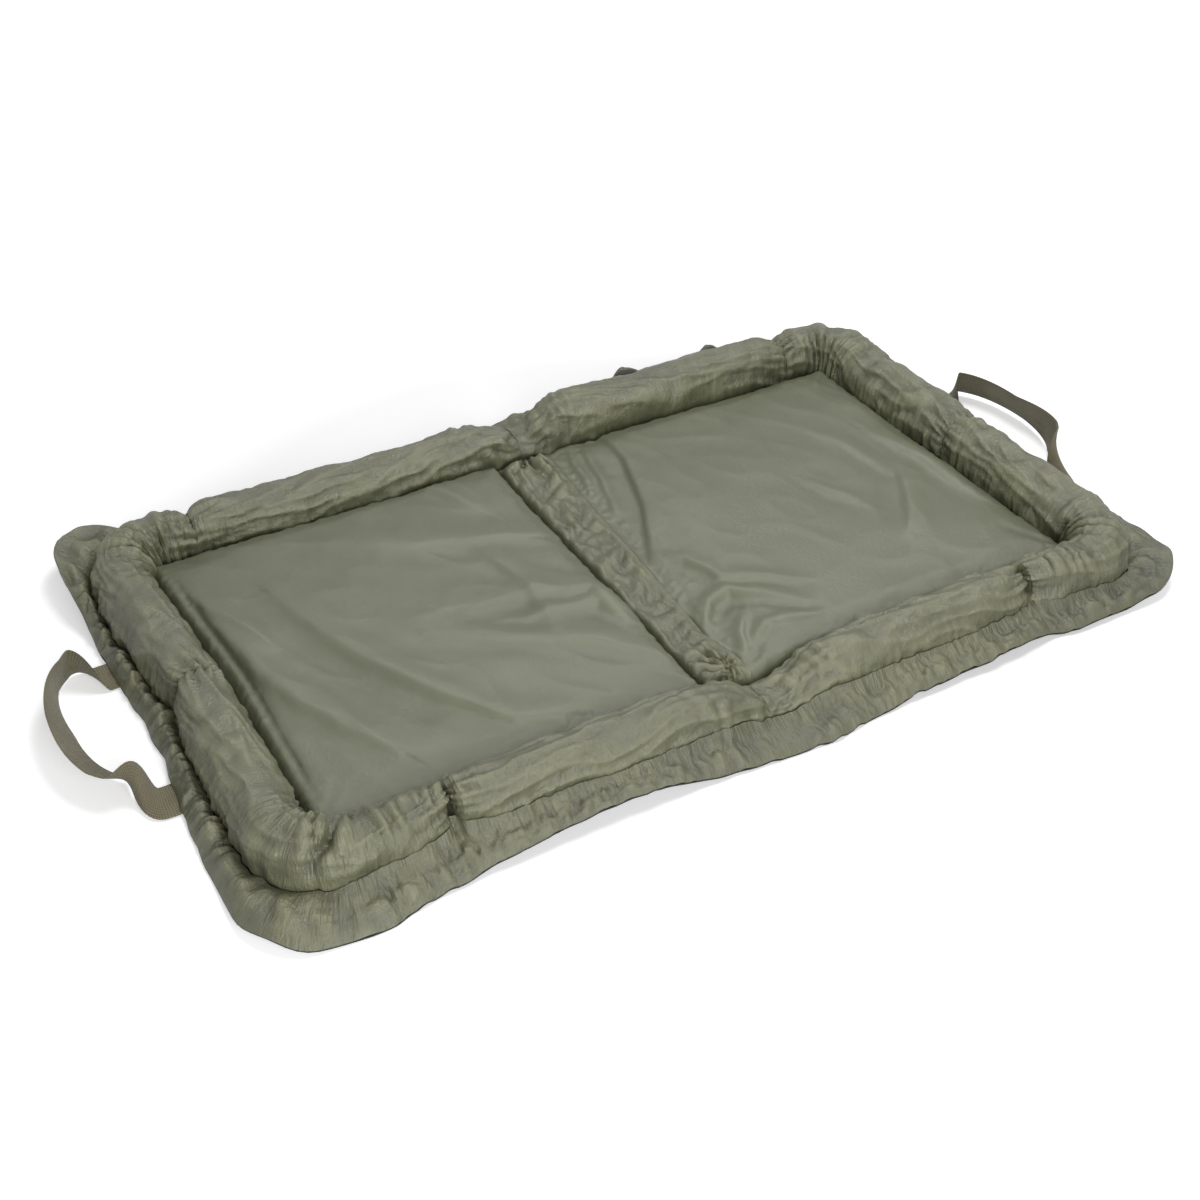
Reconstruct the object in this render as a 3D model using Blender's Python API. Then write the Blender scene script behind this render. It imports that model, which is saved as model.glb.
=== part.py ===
"""Folding mat for unhooking fish: two padded trays with a stuffed rim, a fold strip and two carry handles.

The mat lies open on the ground. X runs along its length, Y across it and Z up. The origin is on the ground in
the middle of the fold strip. The right half is described, and the left half is its mirror image.
"""
import math

import bmesh
import bpy
from mathutils import Matrix, Vector

# Overall sizes in metres, hem to hem and without the handles
OVERALL_LENGTH = 1.000
OVERALL_WIDTH = 0.610
CLEARANCE = 0.0003

# Cloth
FABRIC_THICKNESS = 0.0010
BASE_THICKNESS = 0.0010
HEM_CORNER_RADIUS = 0.056

# Stuffed rim
RIM_WIDTH = 0.065
RIM_HEIGHT = 0.064
RIM_CORNER_RADIUS = 0.050
RIM_FOOT_ANGLE = math.radians(35)
BACK_RIM_DROP = 0.005
BACK_RIM_RUN = 0.060
RIM_WAVE = 0.0012
RIM_WAVE_PITCH = 0.170
ROLL_INSET = 0.0020
ROLL_END_ROUND = 0.048
ROLL_TIP_SHARE = 0.35
STATION_SPACING = 0.036

# Sewn pinches that part the rim into four rolls in each half, measured from the middle of the mat
FRONT_PINCH_X = 0.310
BACK_PINCH_X = 0.360
PINCH_REACH = 0.010
PINCH_DEPTH_SHARE = 0.24
PINCH_STATION_SHARES = (0, 0.6, 1.4, 2.6)
ROLL_END_GAP = 0.008

# Rim beside the fold, where the sleeve runs on without stuffing
FOLD_TAPER = 0.055
FOLD_END_HEIGHT = 0.022
FOLD_END_WIDTH = 0.050
FOLD_ROLL_GAP = 0.014

# Gathers round the rim's corners
GATHER_HEIGHT_SHARE = 0.045
GATHER_PITCH = 0.026

# Skirt between the rim and the hem
SKIRT_WIDTH = 0.028
SKIRT_TUCK = 0.003
SKIRT_RUFFLE = 0.0035
SKIRT_RUFFLE_PITCH = 0.062
SKIRT_LIFT = 0.012
SKIRT_SETTLE = 0.060
# Places where the hem lifts: station along the edge, share of the lift, and reach in stations
LEFT_LIFT_SHARES = ((0.55, 0.45, 0.22), (1.45, 0.85, 0.45), (3.60, 1.00, 0.50), (4.50, 0.30, 0.20))
RIGHT_LIFT_SHARES = ((0.10, 0.60, 0.15), (1.50, 0.90, 0.40), (3.50, 0.35, 0.45), (4.45, 0.80, 0.16))

# Floor of each tray
PAD_THICKNESS = 0.017
PAD_INSET = 0.006
PAD_ROUND = 0.007
FLOOR_GAP = 0.003
FLOOR_EDGE_HEIGHT = 0.0095
FLOOR_HEIGHT = 0.0205
FLOOR_CROWN = 0.0035
FLOOR_ROUND = 0.018
FLOOR_CORNER_RADIUS = 0.018
FOLD_HEIGHT = 0.0058
FOLD_HALF_WIDTH = 0.022
# Drag folds on each floor: start and end as shares of its length and width, then a share of the fold's height
LEFT_FOLD_SHARES = (
    (0.90, 0.70, 0.55, 0.12, 1.0),
    (0.86, 0.58, 0.62, 0.03, 0.9),
    (0.32, 0.48, 0.06, 0.38, 0.8),
    (0.40, 0.86, 0.10, 0.78, 0.6),
)
RIGHT_FOLD_SHARES = (
    (0.82, 0.46, 0.62, 0.18, 0.9),
    (0.16, 0.98, 0.05, 0.48, 1.0),
    (0.04, 0.42, 0.26, 0.22, 0.9),
    (0.62, 0.40, 0.97, 0.62, 0.5),
)

# Fold strip
FOLD_STRIP_WIDTH = 0.070
FOLDED_GAP = 0.004
STRIP_HEIGHT = 0.0175
STRIP_ROUND = 0.014
STRIP_RIPPLE = 0.0024
STRIP_RIPPLE_PITCH = 0.046
STRIP_PAD_WIDTH = 0.050
STRIP_PAD_THICKNESS = 0.009
STRIP_PAD_ROUND = 0.003
CRUMPLE = 0.0045

# Handles
WEBBING_WIDTH = 0.040
WEBBING_THICKNESS = 0.0016
HANDLE_SPAN = 0.190
HANDLE_REACH = 0.0665
HANDLE_TILT = math.radians(62)
HANDLE_SQUARENESS_SHARE = 0.98
HANDLE_TWIST_SHARE = 0.62
HANDLE_FLAT_SHARE = 0.08
HANDLE_DROP = 0.0010
LEFT_HANDLE_ARCH = 0.0
RIGHT_HANDLE_ARCH = 0.0065
HANDLE_BACKSET = 0.0005
TAB_LENGTH = 0.030
TAB_OVERHANG = 0.001
TAB_COVER_MARGIN = 0.022
TAB_COVER_RAMP = 0.024

# Mesh counts
SLEEVE_ROW_COUNT = 8
ROLL_ROW_COUNT = 8
SKIRT_COLUMN_COUNT = 76
SKIRT_ROW_COUNT = 2
FLOOR_COLUMN_COUNT = 18
FLOOR_ROW_COUNT = 16
FLOOR_CROWDING_SHARE = 0.70
STRIP_COLUMN_COUNT = 6
STRIP_ROW_COUNT = 28
HANDLE_STEP_COUNT = 30
CORNER_STEP_COUNT = 8
SHARP_ANGLE = math.radians(50)
PAD_CORNER_STEP_COUNT = 3

# Places along the edge of a half: 0 and 5 at the fold, 1 to 2 and 3 to 4 round the corners
FIRST_CORNER = 1
SECOND_CORNER = 3
MIDDLE_STATION = 2.5
LAST_STATION = 5

# Sizes that follow from the ones above
HALF_LENGTH = OVERALL_LENGTH / 2
HALF_WIDTH = OVERALL_WIDTH / 2
FOLD_LINE_X = FOLD_STRIP_WIDTH / 2
HALF_EDGE_X = FOLD_LINE_X + CLEARANCE / 2
STRIP_EDGE_X = FOLD_LINE_X - CLEARANCE / 2
SEAT_HEIGHT = BASE_THICKNESS + CLEARANCE
RIM_X = HALF_LENGTH - SKIRT_WIDTH - RIM_WIDTH / 2
RIM_Y = HALF_WIDTH - SKIRT_WIDTH - RIM_WIDTH / 2
RIM_TOP = SEAT_HEIGHT + RIM_HEIGHT * (1 + GATHER_HEIGHT_SHARE) + RIM_WAVE
FRONT_RUN = RIM_X - RIM_CORNER_RADIUS - HALF_EDGE_X
CORNER_RUN = RIM_CORNER_RADIUS * math.pi / 2
END_RUN = 2 * (RIM_Y - RIM_CORNER_RADIUS)
RIM_LENGTH = 2 * FRONT_RUN + 2 * CORNER_RUN + END_RUN
FRONT_PINCH = FRONT_PINCH_X - HALF_EDGE_X
END_PINCH = RIM_LENGTH / 2
BACK_PINCH = RIM_LENGTH - (BACK_PINCH_X - HALF_EDGE_X)
FLOOR_END_X = RIM_X - RIM_WIDTH / 2 - FLOOR_GAP
FLOOR_HALF_WIDTH = RIM_Y - RIM_WIDTH / 2 - FLOOR_GAP
FOLD_AXIS_HEIGHT = RIM_TOP + FOLDED_GAP / 2 - FOLD_LINE_X
HANDLE_AXIS_X = HALF_LENGTH + TAB_OVERHANG + WEBBING_THICKNESS / 2 + CLEARANCE
HANDLE_AXIS_HEIGHT = SEAT_HEIGHT + WEBBING_THICKNESS / 2
TAB_LIFT = WEBBING_THICKNESS + CLEARANCE

# Colours as red, green and blue, with roughness
OLIVE_CLOTH = ((0.258, 0.275, 0.188), 0.55)
SHADED_CLOTH = ((0.205, 0.219, 0.147), 0.60)
DARK_BASE = ((0.052, 0.055, 0.048), 0.70)
OLIVE_WEBBING = ((0.115, 0.105, 0.064), 0.80)
PALE_FOAM = ((0.560, 0.560, 0.520), 0.90)


def clear_scene():
    for item in list(bpy.data.objects):
        bpy.data.objects.remove(item, do_unlink=True)


def make_material(name, finish):
    colour, roughness = finish
    material = bpy.data.materials.new(name)
    material.use_nodes = True
    shader = material.node_tree.nodes["Principled BSDF"]
    shader.inputs["Base Color"].default_value = (*colour, 1)
    shader.inputs["Roughness"].default_value = roughness
    shader.inputs["Metallic"].default_value = 0
    return material


def make_carrier(name, place, parent=None):
    """An empty on a joint's axis, which the pieces of one moving body hang on."""
    carrier = bpy.data.objects.new(name, None)
    bpy.context.collection.objects.link(carrier)
    if parent is not None:
        carrier.parent = parent
        carrier.location = Vector(place) - Vector(parent["place"])
    else:
        carrier.location = place
    carrier["place"] = tuple(place)
    return carrier


def add_piece(name, shape, finish, carrier, smooth=True):
    """Turn a shape that is modelled in place into a named object that hangs on its carrier."""
    mesh = bpy.data.meshes.new(name)
    shape.to_mesh(mesh)
    shape.free()
    mesh.transform(Matrix.Translation(-Vector(carrier["place"])))
    if smooth:
        mesh.shade_smooth()
        mesh.set_sharp_from_angle(angle=SHARP_ANGLE)
    mesh.materials.append(make_material(name, finish))
    piece = bpy.data.objects.new(name, mesh)
    bpy.context.collection.objects.link(piece)
    piece.parent = carrier
    return piece


def ease(share):
    """Rise from 0 to 1, level at both ends."""
    held = min(1, max(0, share))
    return held * held * (3 - 2 * held)


def quarter_round(distance, radius):
    """Share of the full height at a distance from an edge that is rounded off."""
    left = 1 - min(1, max(0, distance / radius))
    return math.sqrt(1 - left * left)


def mirror_for(side, point):
    return Vector((side * point.x, point.y, point.z))


def sheet_shape(surface, columns, rows):
    """A grid whose points go where the surface puts each pair of shares, with its faces turned up."""
    shape = bmesh.new()
    bmesh.ops.create_grid(shape, x_segments=columns, y_segments=rows, size=1)
    for vertex in shape.verts:
        vertex.co = surface((vertex.co.x + 1) / 2, (vertex.co.y + 1) / 2)
    shape.normal_update()
    if sum(face.normal.z * face.calc_area() for face in shape.faces) < 0:
        bmesh.ops.reverse_faces(shape, faces=shape.faces)
    return shape


def add_cloth(name, surface, columns, rows, finish, carrier):
    """A sheet of cloth whose upper face is the given surface."""
    piece = add_piece(name, sheet_shape(surface, columns, rows), finish, carrier)
    wall = piece.modifiers.new("cloth", "SOLIDIFY")
    wall.thickness = FABRIC_THICKNESS
    wall.offset = -1
    return piece


def loft_shape(rings):
    """A closed body through rings of points, with both ends capped."""
    shape = bmesh.new()
    loops = [[shape.verts.new(point) for point in ring] for ring in rings]
    for near, far in zip(loops, loops[1:]):
        for index, corner in enumerate(near):
            following = (index + 1) % len(near)
            shape.faces.new((corner, near[following], far[following], far[index]))
    shape.faces.new(loops[0])
    shape.faces.new(loops[-1])
    bmesh.ops.recalc_face_normals(shape, faces=shape.faces)
    return shape


def slab_shape(outline, bottom, thickness):
    """A flat plate over an outline of plan points."""
    shape = bmesh.new()
    face = shape.faces.new([shape.verts.new((point.x, point.y, bottom)) for point in outline])
    grown = bmesh.ops.extrude_face_region(shape, geom=[face])
    upper = [item for item in grown["geom"] if isinstance(item, bmesh.types.BMVert)]
    bmesh.ops.translate(shape, verts=upper, vec=(0, 0, thickness))
    bmesh.ops.recalc_face_normals(shape, faces=shape.faces)
    return shape


def box_shape(low, high):
    """A block between two opposite corners."""
    corners = (Vector((low[0], low[1], 0)), Vector((high[0], low[1], 0)),
               Vector((high[0], high[1], 0)), Vector((low[0], high[1], 0)))
    return slab_shape(corners, low[2], high[2] - low[2])


def edge_place(station, half_length, half_width, radius):
    """Plan place and outward direction on a rounded outline of the right half, from the front of the fold."""
    mirrored = station > MIDDLE_STATION
    place = LAST_STATION - station if mirrored else station
    if place < FIRST_CORNER:
        spot = Vector((HALF_EDGE_X + place * (half_length - radius - HALF_EDGE_X), -half_width, 0))
        outward = Vector((0, -1, 0))
    elif place < FIRST_CORNER + 1:
        angle = (place - FIRST_CORNER) * math.pi / 2
        outward = Vector((math.sin(angle), -math.cos(angle), 0))
        spot = Vector((half_length - radius, radius - half_width, 0)) + radius * outward
    else:
        left = 1 - 2 * (place - FIRST_CORNER - 1)
        spot = Vector((half_length, (radius - half_width) * left, 0))
        outward = Vector((1, 0, 0))
    if mirrored:
        spot.y = -spot.y
        outward.y = -outward.y
    return spot, outward


def rim_station(distance):
    """Station along the edge for a distance along the middle of the rim."""
    mirrored = distance > RIM_LENGTH / 2
    along = RIM_LENGTH - distance if mirrored else distance
    if along < FRONT_RUN:
        station = along / FRONT_RUN
    elif along < FRONT_RUN + CORNER_RUN:
        station = FIRST_CORNER + (along - FRONT_RUN) / CORNER_RUN
    else:
        station = FIRST_CORNER + 1 + (along - FRONT_RUN - CORNER_RUN) / END_RUN
    return LAST_STATION - station if mirrored else station


def rim_place(distance):
    return edge_place(rim_station(distance), RIM_X, RIM_Y, RIM_CORNER_RADIUS)


def hem_place(station):
    return edge_place(station, HALF_LENGTH, HALF_WIDTH, HEM_CORNER_RADIUS)[0]


def rim_section(distance, side):
    """Width and height of the rim's sleeve at a distance along it."""
    pinches = (FRONT_PINCH, END_PINCH, BACK_PINCH)
    pinched = sum(math.exp(-((distance - pinch) / PINCH_REACH) ** 2) for pinch in pinches)
    drawn = 1 - PINCH_DEPTH_SHARE * pinched
    to_fold = min(distance, RIM_LENGTH - distance)
    full = quarter_round(to_fold, FOLD_TAPER)
    drop = BACK_RIM_DROP * full * ease((distance - BACK_PINCH) / BACK_RIM_RUN)
    wave = RIM_WAVE * full * math.sin(2 * math.pi * distance / RIM_WAVE_PITCH + side)
    width = (FOLD_END_WIDTH + (RIM_WIDTH - FOLD_END_WIDTH) * full) * drawn
    height = (FOLD_END_HEIGHT + (RIM_HEIGHT - FOLD_END_HEIGHT) * full) * drawn + wave - drop
    return width, height


def gather(distance, share):
    """How far a corner's gathers stand out, as a share of the section."""
    to_fold = min(distance, RIM_LENGTH - distance)
    to_corner = abs(to_fold - FRONT_RUN - CORNER_RUN / 2)
    near = ease((CORNER_RUN - to_corner) / CORNER_RUN)
    ripple = (1 + math.cos(2 * math.pi * to_corner / GATHER_PITCH)) / 2
    return GATHER_HEIGHT_SHARE * near * ripple * math.sin(math.pi * share)


def arch(share, width, height):
    """Outward and upward place on the rim's section, from the inner foot over the crown to the outer foot."""
    angle = share * (math.pi + 2 * RIM_FOOT_ANGLE) - RIM_FOOT_ANGLE
    outward = -width / 2 * math.cos(angle)
    lift = (math.sin(angle) + math.sin(RIM_FOOT_ANGLE)) / (1 + math.sin(RIM_FOOT_ANGLE))
    return outward, height * lift


def rim_point(distance, share, side, width, height):
    spot, outward = rim_place(distance)
    reach, lift = arch(share, width, height)
    return mirror_for(side, spot + outward * reach + Vector((0, 0, SEAT_HEIGHT + lift)))


def sleeve_point(distance, share, side):
    width, height = rim_section(distance, side)
    swell = 1 + gather(distance, share)
    return rim_point(distance, share, side, width * swell, height * swell)


def stretch_distances(start, end):
    """Distances along one roll of the rim, close together at its pinches and round a corner."""
    ends = [PINCH_REACH * share for share in PINCH_STATION_SHARES]
    found = {start + step for step in ends} | {end - step for step in ends}
    inner_start = start + ends[-1]
    inner_end = end - ends[-1]
    for corner in (FRONT_RUN, RIM_LENGTH - FRONT_RUN - CORNER_RUN):
        for step in range(CORNER_STEP_COUNT + 1):
            distance = corner + CORNER_RUN * step / CORNER_STEP_COUNT
            if inner_start < distance < inner_end:
                found.add(distance)
    marks = sorted(found)
    filled = [marks[0]]
    for mark in marks[1:]:
        gap = mark - filled[-1]
        parts = max(1, round(gap / STATION_SPACING))
        filled.extend([filled[-1] + gap * (part + 1) / parts for part in range(parts)])
    return filled


def add_sleeve(name, side, start, end, carrier):
    """Cloth sleeve of one stretch of the rim: an arch on the base sheet, open below and at both ends."""
    distances = stretch_distances(start, end)
    columns = len(distances) - 1

    def surface(along, across):
        return sleeve_point(distances[round(along * columns)], across, side)

    return add_cloth(name, surface, columns, SLEEVE_ROW_COUNT, OLIVE_CLOTH, carrier)


def add_roll(name, side, start, end, carrier):
    """Foam roll inside a sleeve, with rounded ends and a flat underside."""
    distances = stretch_distances(start, end)
    rings = []
    for distance in distances:
        to_end = min(distance - start, end - distance)
        rounded = ROLL_TIP_SHARE + (1 - ROLL_TIP_SHARE) * quarter_round(to_end, ROLL_END_ROUND)
        width, height = rim_section(distance, side)
        width = (width - 2 * ROLL_INSET) * rounded
        height = (height - ROLL_INSET) * rounded
        shares = [step / ROLL_ROW_COUNT for step in range(ROLL_ROW_COUNT + 1)]
        rings.append([rim_point(distance, share, side, width, height) for share in shares])
    add_piece(name, loft_shape(rings), PALE_FOAM, carrier)


def add_rim(word, side, carrier):
    """The four rolls of a half's rim, each in its own stretch of sleeve."""
    half_gap = CLEARANCE / 2
    stretches = (
        ("front", 0, FRONT_PINCH - half_gap, FOLD_ROLL_GAP, ROLL_END_GAP),
        ("front_corner", FRONT_PINCH + half_gap, END_PINCH - half_gap, ROLL_END_GAP, ROLL_END_GAP),
        ("back_corner", END_PINCH + half_gap, BACK_PINCH - half_gap, ROLL_END_GAP, ROLL_END_GAP),
        ("back", BACK_PINCH + half_gap, RIM_LENGTH, ROLL_END_GAP, FOLD_ROLL_GAP),
    )
    for place, start, end, start_gap, end_gap in stretches:
        add_sleeve(f"{word}_{place}_sleeve", side, start, end, carrier)
        add_roll(f"{word}_{place}_roll", side, start + start_gap, end - end_gap, carrier)


def hem_lift(station, lift_shares):
    """How high the hem stands off the base at a station."""
    bumps = [size * math.exp(-((station - place) / reach) ** 2) for place, size, reach in lift_shares]
    return SKIRT_LIFT * sum(bumps)


def tab_cover(distance):
    """How much of the skirt's height over a handle's sewn end is needed at a distance along the rim."""
    spot, outward = rim_place(distance)
    off_centre = abs(abs(spot.y) - HANDLE_SPAN / 2)
    level = WEBBING_WIDTH / 2 + TAB_COVER_MARGIN
    return TAB_LIFT * outward.x * ease((level + TAB_COVER_RAMP - off_centre) / TAB_COVER_RAMP)


def add_skirt(word, side, lift_shares, carrier):
    """Flat border of cloth outside the rim, ruffled towards its hem."""
    inner_offset = RIM_WIDTH / 2 - SKIRT_TUCK

    def surface(along, across):
        distance = along * RIM_LENGTH
        station = rim_station(distance)
        spot, outward = rim_place(distance)
        inner = spot + outward * inner_offset
        outer = hem_place(station)
        settled = ease(min(distance, RIM_LENGTH - distance) / SKIRT_SETTLE)
        ruffle = SKIRT_RUFFLE * (1 - math.cos(2 * math.pi * distance / SKIRT_RUFFLE_PITCH)) / 2
        height = SEAT_HEIGHT + FABRIC_THICKNESS + tab_cover(distance)
        height += across * settled * (ruffle + hem_lift(station, lift_shares))
        point = inner.lerp(outer, across)
        return mirror_for(side, Vector((point.x, point.y, height)))

    add_cloth(f"{word}_skirt", surface, SKIRT_COLUMN_COUNT, SKIRT_ROW_COUNT, SHADED_CLOTH, carrier)


def crowded(share):
    """Move evenly spaced shares towards both ends."""
    return share - FLOOR_CROWDING_SHARE * math.sin(2 * math.pi * share) / (2 * math.pi)


def fold_rise(point, fold_shares):
    """Height that the drag folds add at a plan point of the right half."""
    rise = 0
    length = FLOOR_END_X - HALF_EDGE_X
    for start_x, start_y, end_x, end_y, size in fold_shares:
        start = Vector((HALF_EDGE_X + start_x * length, (2 * start_y - 1) * FLOOR_HALF_WIDTH))
        run = Vector((HALF_EDGE_X + end_x * length, (2 * end_y - 1) * FLOOR_HALF_WIDTH)) - start
        along = (Vector((point.x, point.y)) - start).dot(run) / run.length_squared
        nearest = start + run * min(1, max(0, along))
        off = (Vector((point.x, point.y)) - nearest).length
        rise += FOLD_HEIGHT * size * math.exp(-(off / FOLD_HALF_WIDTH) ** 2)
    return rise


def floor_place(along, across):
    """Plan place on a tray's floor, with its outer corners rounded."""
    x = HALF_EDGE_X + along * (FLOOR_END_X - HALF_EDGE_X)
    y = (2 * across - 1) * FLOOR_HALF_WIDTH
    into_x = x - (FLOOR_END_X - FLOOR_CORNER_RADIUS)
    into_y = abs(y) - (FLOOR_HALF_WIDTH - FLOOR_CORNER_RADIUS)
    if into_x > 0 and into_y > 0:
        pull = max(into_x, into_y) / math.hypot(into_x, into_y)
        x -= into_x * (1 - pull)
        y -= math.copysign(into_y * (1 - pull), y)
    return Vector((x, y, 0))


def add_floor(word, side, fold_shares, carrier):
    """Foam pad of a tray's floor and the cloth cover over it."""

    def surface(along, across):
        point = floor_place(crowded(along), crowded(across))
        length = FLOOR_END_X - HALF_EDGE_X
        width = 2 * FLOOR_HALF_WIDTH
        to_edge = min(crowded(along) * length, crowded(1 - along) * length)
        to_edge = min(to_edge, crowded(across) * width, crowded(1 - across) * width)
        inside = quarter_round(to_edge, FLOOR_ROUND)
        crown = FLOOR_CROWN * math.sin(math.pi * along) * math.sin(math.pi * across)
        height = FLOOR_EDGE_HEIGHT + (FLOOR_HEIGHT - FLOOR_EDGE_HEIGHT) * inside + crown
        height += inside * fold_rise(point, fold_shares)
        return mirror_for(side, Vector((point.x, point.y, height)))

    add_cloth(f"{word}_floor_cover", surface, FLOOR_COLUMN_COUNT, FLOOR_ROW_COUNT, OLIVE_CLOTH, carrier)
    ends = sorted((side * (HALF_EDGE_X + PAD_INSET), side * (FLOOR_END_X - PAD_INSET)))
    low = (ends[0], PAD_INSET - FLOOR_HALF_WIDTH, SEAT_HEIGHT)
    high = (ends[1], FLOOR_HALF_WIDTH - PAD_INSET, SEAT_HEIGHT + PAD_THICKNESS)
    corner_radius = FLOOR_CORNER_RADIUS - PAD_INSET
    add_rounded_block(f"{word}_floor_pad", low, high, corner_radius, PAD_ROUND, carrier)


def add_rounded_block(name, low, high, corner_radius, edge_radius, carrier):
    """Foam slab with round corners in plan and a rounded upper edge."""
    outline = []
    corners = ((high[0], high[1]), (low[0], high[1]), (low[0], low[1]), (high[0], low[1]))
    for turn, (x, y) in enumerate(corners):
        inward_x = -corner_radius if x == high[0] else corner_radius
        inward_y = -corner_radius if y == high[1] else corner_radius
        for step in range(PAD_CORNER_STEP_COUNT + 1):
            angle = math.pi / 2 * (turn + step / PAD_CORNER_STEP_COUNT)
            reach = Vector((math.cos(angle), math.sin(angle), 0)) * corner_radius
            outline.append(Vector((x + inward_x, y + inward_y, 0)) + reach)
    shape = slab_shape(outline, low[2], high[2] - low[2])
    upper = [edge for edge in shape.edges if min(vertex.co.z for vertex in edge.verts) > low[2] + CLEARANCE]
    bmesh.ops.bevel(shape, geom=upper, offset=edge_radius, offset_type="OFFSET", segments=2, profile=0.5,
                    affect="EDGES", clamp_overlap=True, material=-1)
    add_piece(name, shape, PALE_FOAM, carrier)


def add_base(word, side, carrier):
    """Half of the base sheet that lies on the ground."""
    corner = [step / CORNER_STEP_COUNT for step in range(CORNER_STEP_COUNT + 1)]
    stations = [0, *[FIRST_CORNER + share for share in corner], *[SECOND_CORNER + share for share in corner],
                LAST_STATION]
    outline = [mirror_for(side, hem_place(station)) for station in stations]
    add_piece(f"{word}_base_sheet", slab_shape(outline, 0, BASE_THICKNESS), DARK_BASE, carrier, smooth=False)


def handle_rings(side, arch_height):
    """Sections of the webbing loop, flat where it is sewn in and turned up on edge in mid span."""
    start_x = HANDLE_AXIS_X - HANDLE_BACKSET
    flat_reach = WEBBING_WIDTH / 2 * math.cos(HANDLE_TILT) + WEBBING_THICKNESS / 2
    line_reach = HANDLE_AXIS_X + HANDLE_REACH - flat_reach - start_x

    def middle(share):
        angle = math.pi * (share - 1 / 2)
        out = abs(math.cos(angle)) ** HANDLE_SQUARENESS_SHARE
        across = math.copysign(abs(math.sin(angle)) ** HANDLE_SQUARENESS_SHARE, angle)
        return Vector((start_x + line_reach * out, HANDLE_SPAN / 2 * across, 0))

    rings = []
    for step in range(HANDLE_STEP_COUNT + 1):
        share = step / HANDLE_STEP_COUNT
        near = min(share, 1 - share) * 2
        nudge = 1 / (HANDLE_STEP_COUNT * HANDLE_STEP_COUNT)
        tangent = (middle(min(1, share + nudge)) - middle(max(0, share - nudge))).normalized()
        inward = Vector((-tangent.y, tangent.x, 0))
        turned = ease((near - HANDLE_FLAT_SHARE) / (HANDLE_TWIST_SHARE - HANDLE_FLAT_SHARE))
        tilt = HANDLE_TILT * turned
        across = inward * math.cos(tilt) + Vector((0, 0, math.sin(tilt)))
        through = tangent.cross(across)
        rise = (arch_height - HANDLE_DROP) * turned + WEBBING_WIDTH / 2 * math.sin(tilt)
        centre = middle(share) + Vector((0, 0, HANDLE_AXIS_HEIGHT + rise))
        half_across = across * WEBBING_WIDTH / 2
        half_through = through * WEBBING_THICKNESS / 2
        corners = (centre - half_across - half_through, centre + half_across - half_through,
                   centre + half_across + half_through, centre - half_across + half_through)
        rings.append([mirror_for(side, corner) for corner in corners])
    return rings


def add_handle(word, side, arch_height, carrier, half_carrier):
    """Webbing loop at the end of a half, with its two ends sewn in below the skirt."""
    add_piece(f"{word}_handle_webbing", loft_shape(handle_rings(side, arch_height)), OLIVE_WEBBING, carrier)
    tab_end = HALF_LENGTH + TAB_OVERHANG
    ends = sorted((side * (tab_end - TAB_LENGTH), side * tab_end))
    for place, middle in (("front", -HANDLE_SPAN / 2), ("back", HANDLE_SPAN / 2)):
        low = (ends[0], middle - WEBBING_WIDTH / 2, SEAT_HEIGHT)
        high = (ends[1], middle + WEBBING_WIDTH / 2, SEAT_HEIGHT + WEBBING_THICKNESS)
        tab = box_shape(low, high)
        add_piece(f"{word}_handle_{place}_tab", tab, OLIVE_WEBBING, half_carrier, smooth=False)


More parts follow.
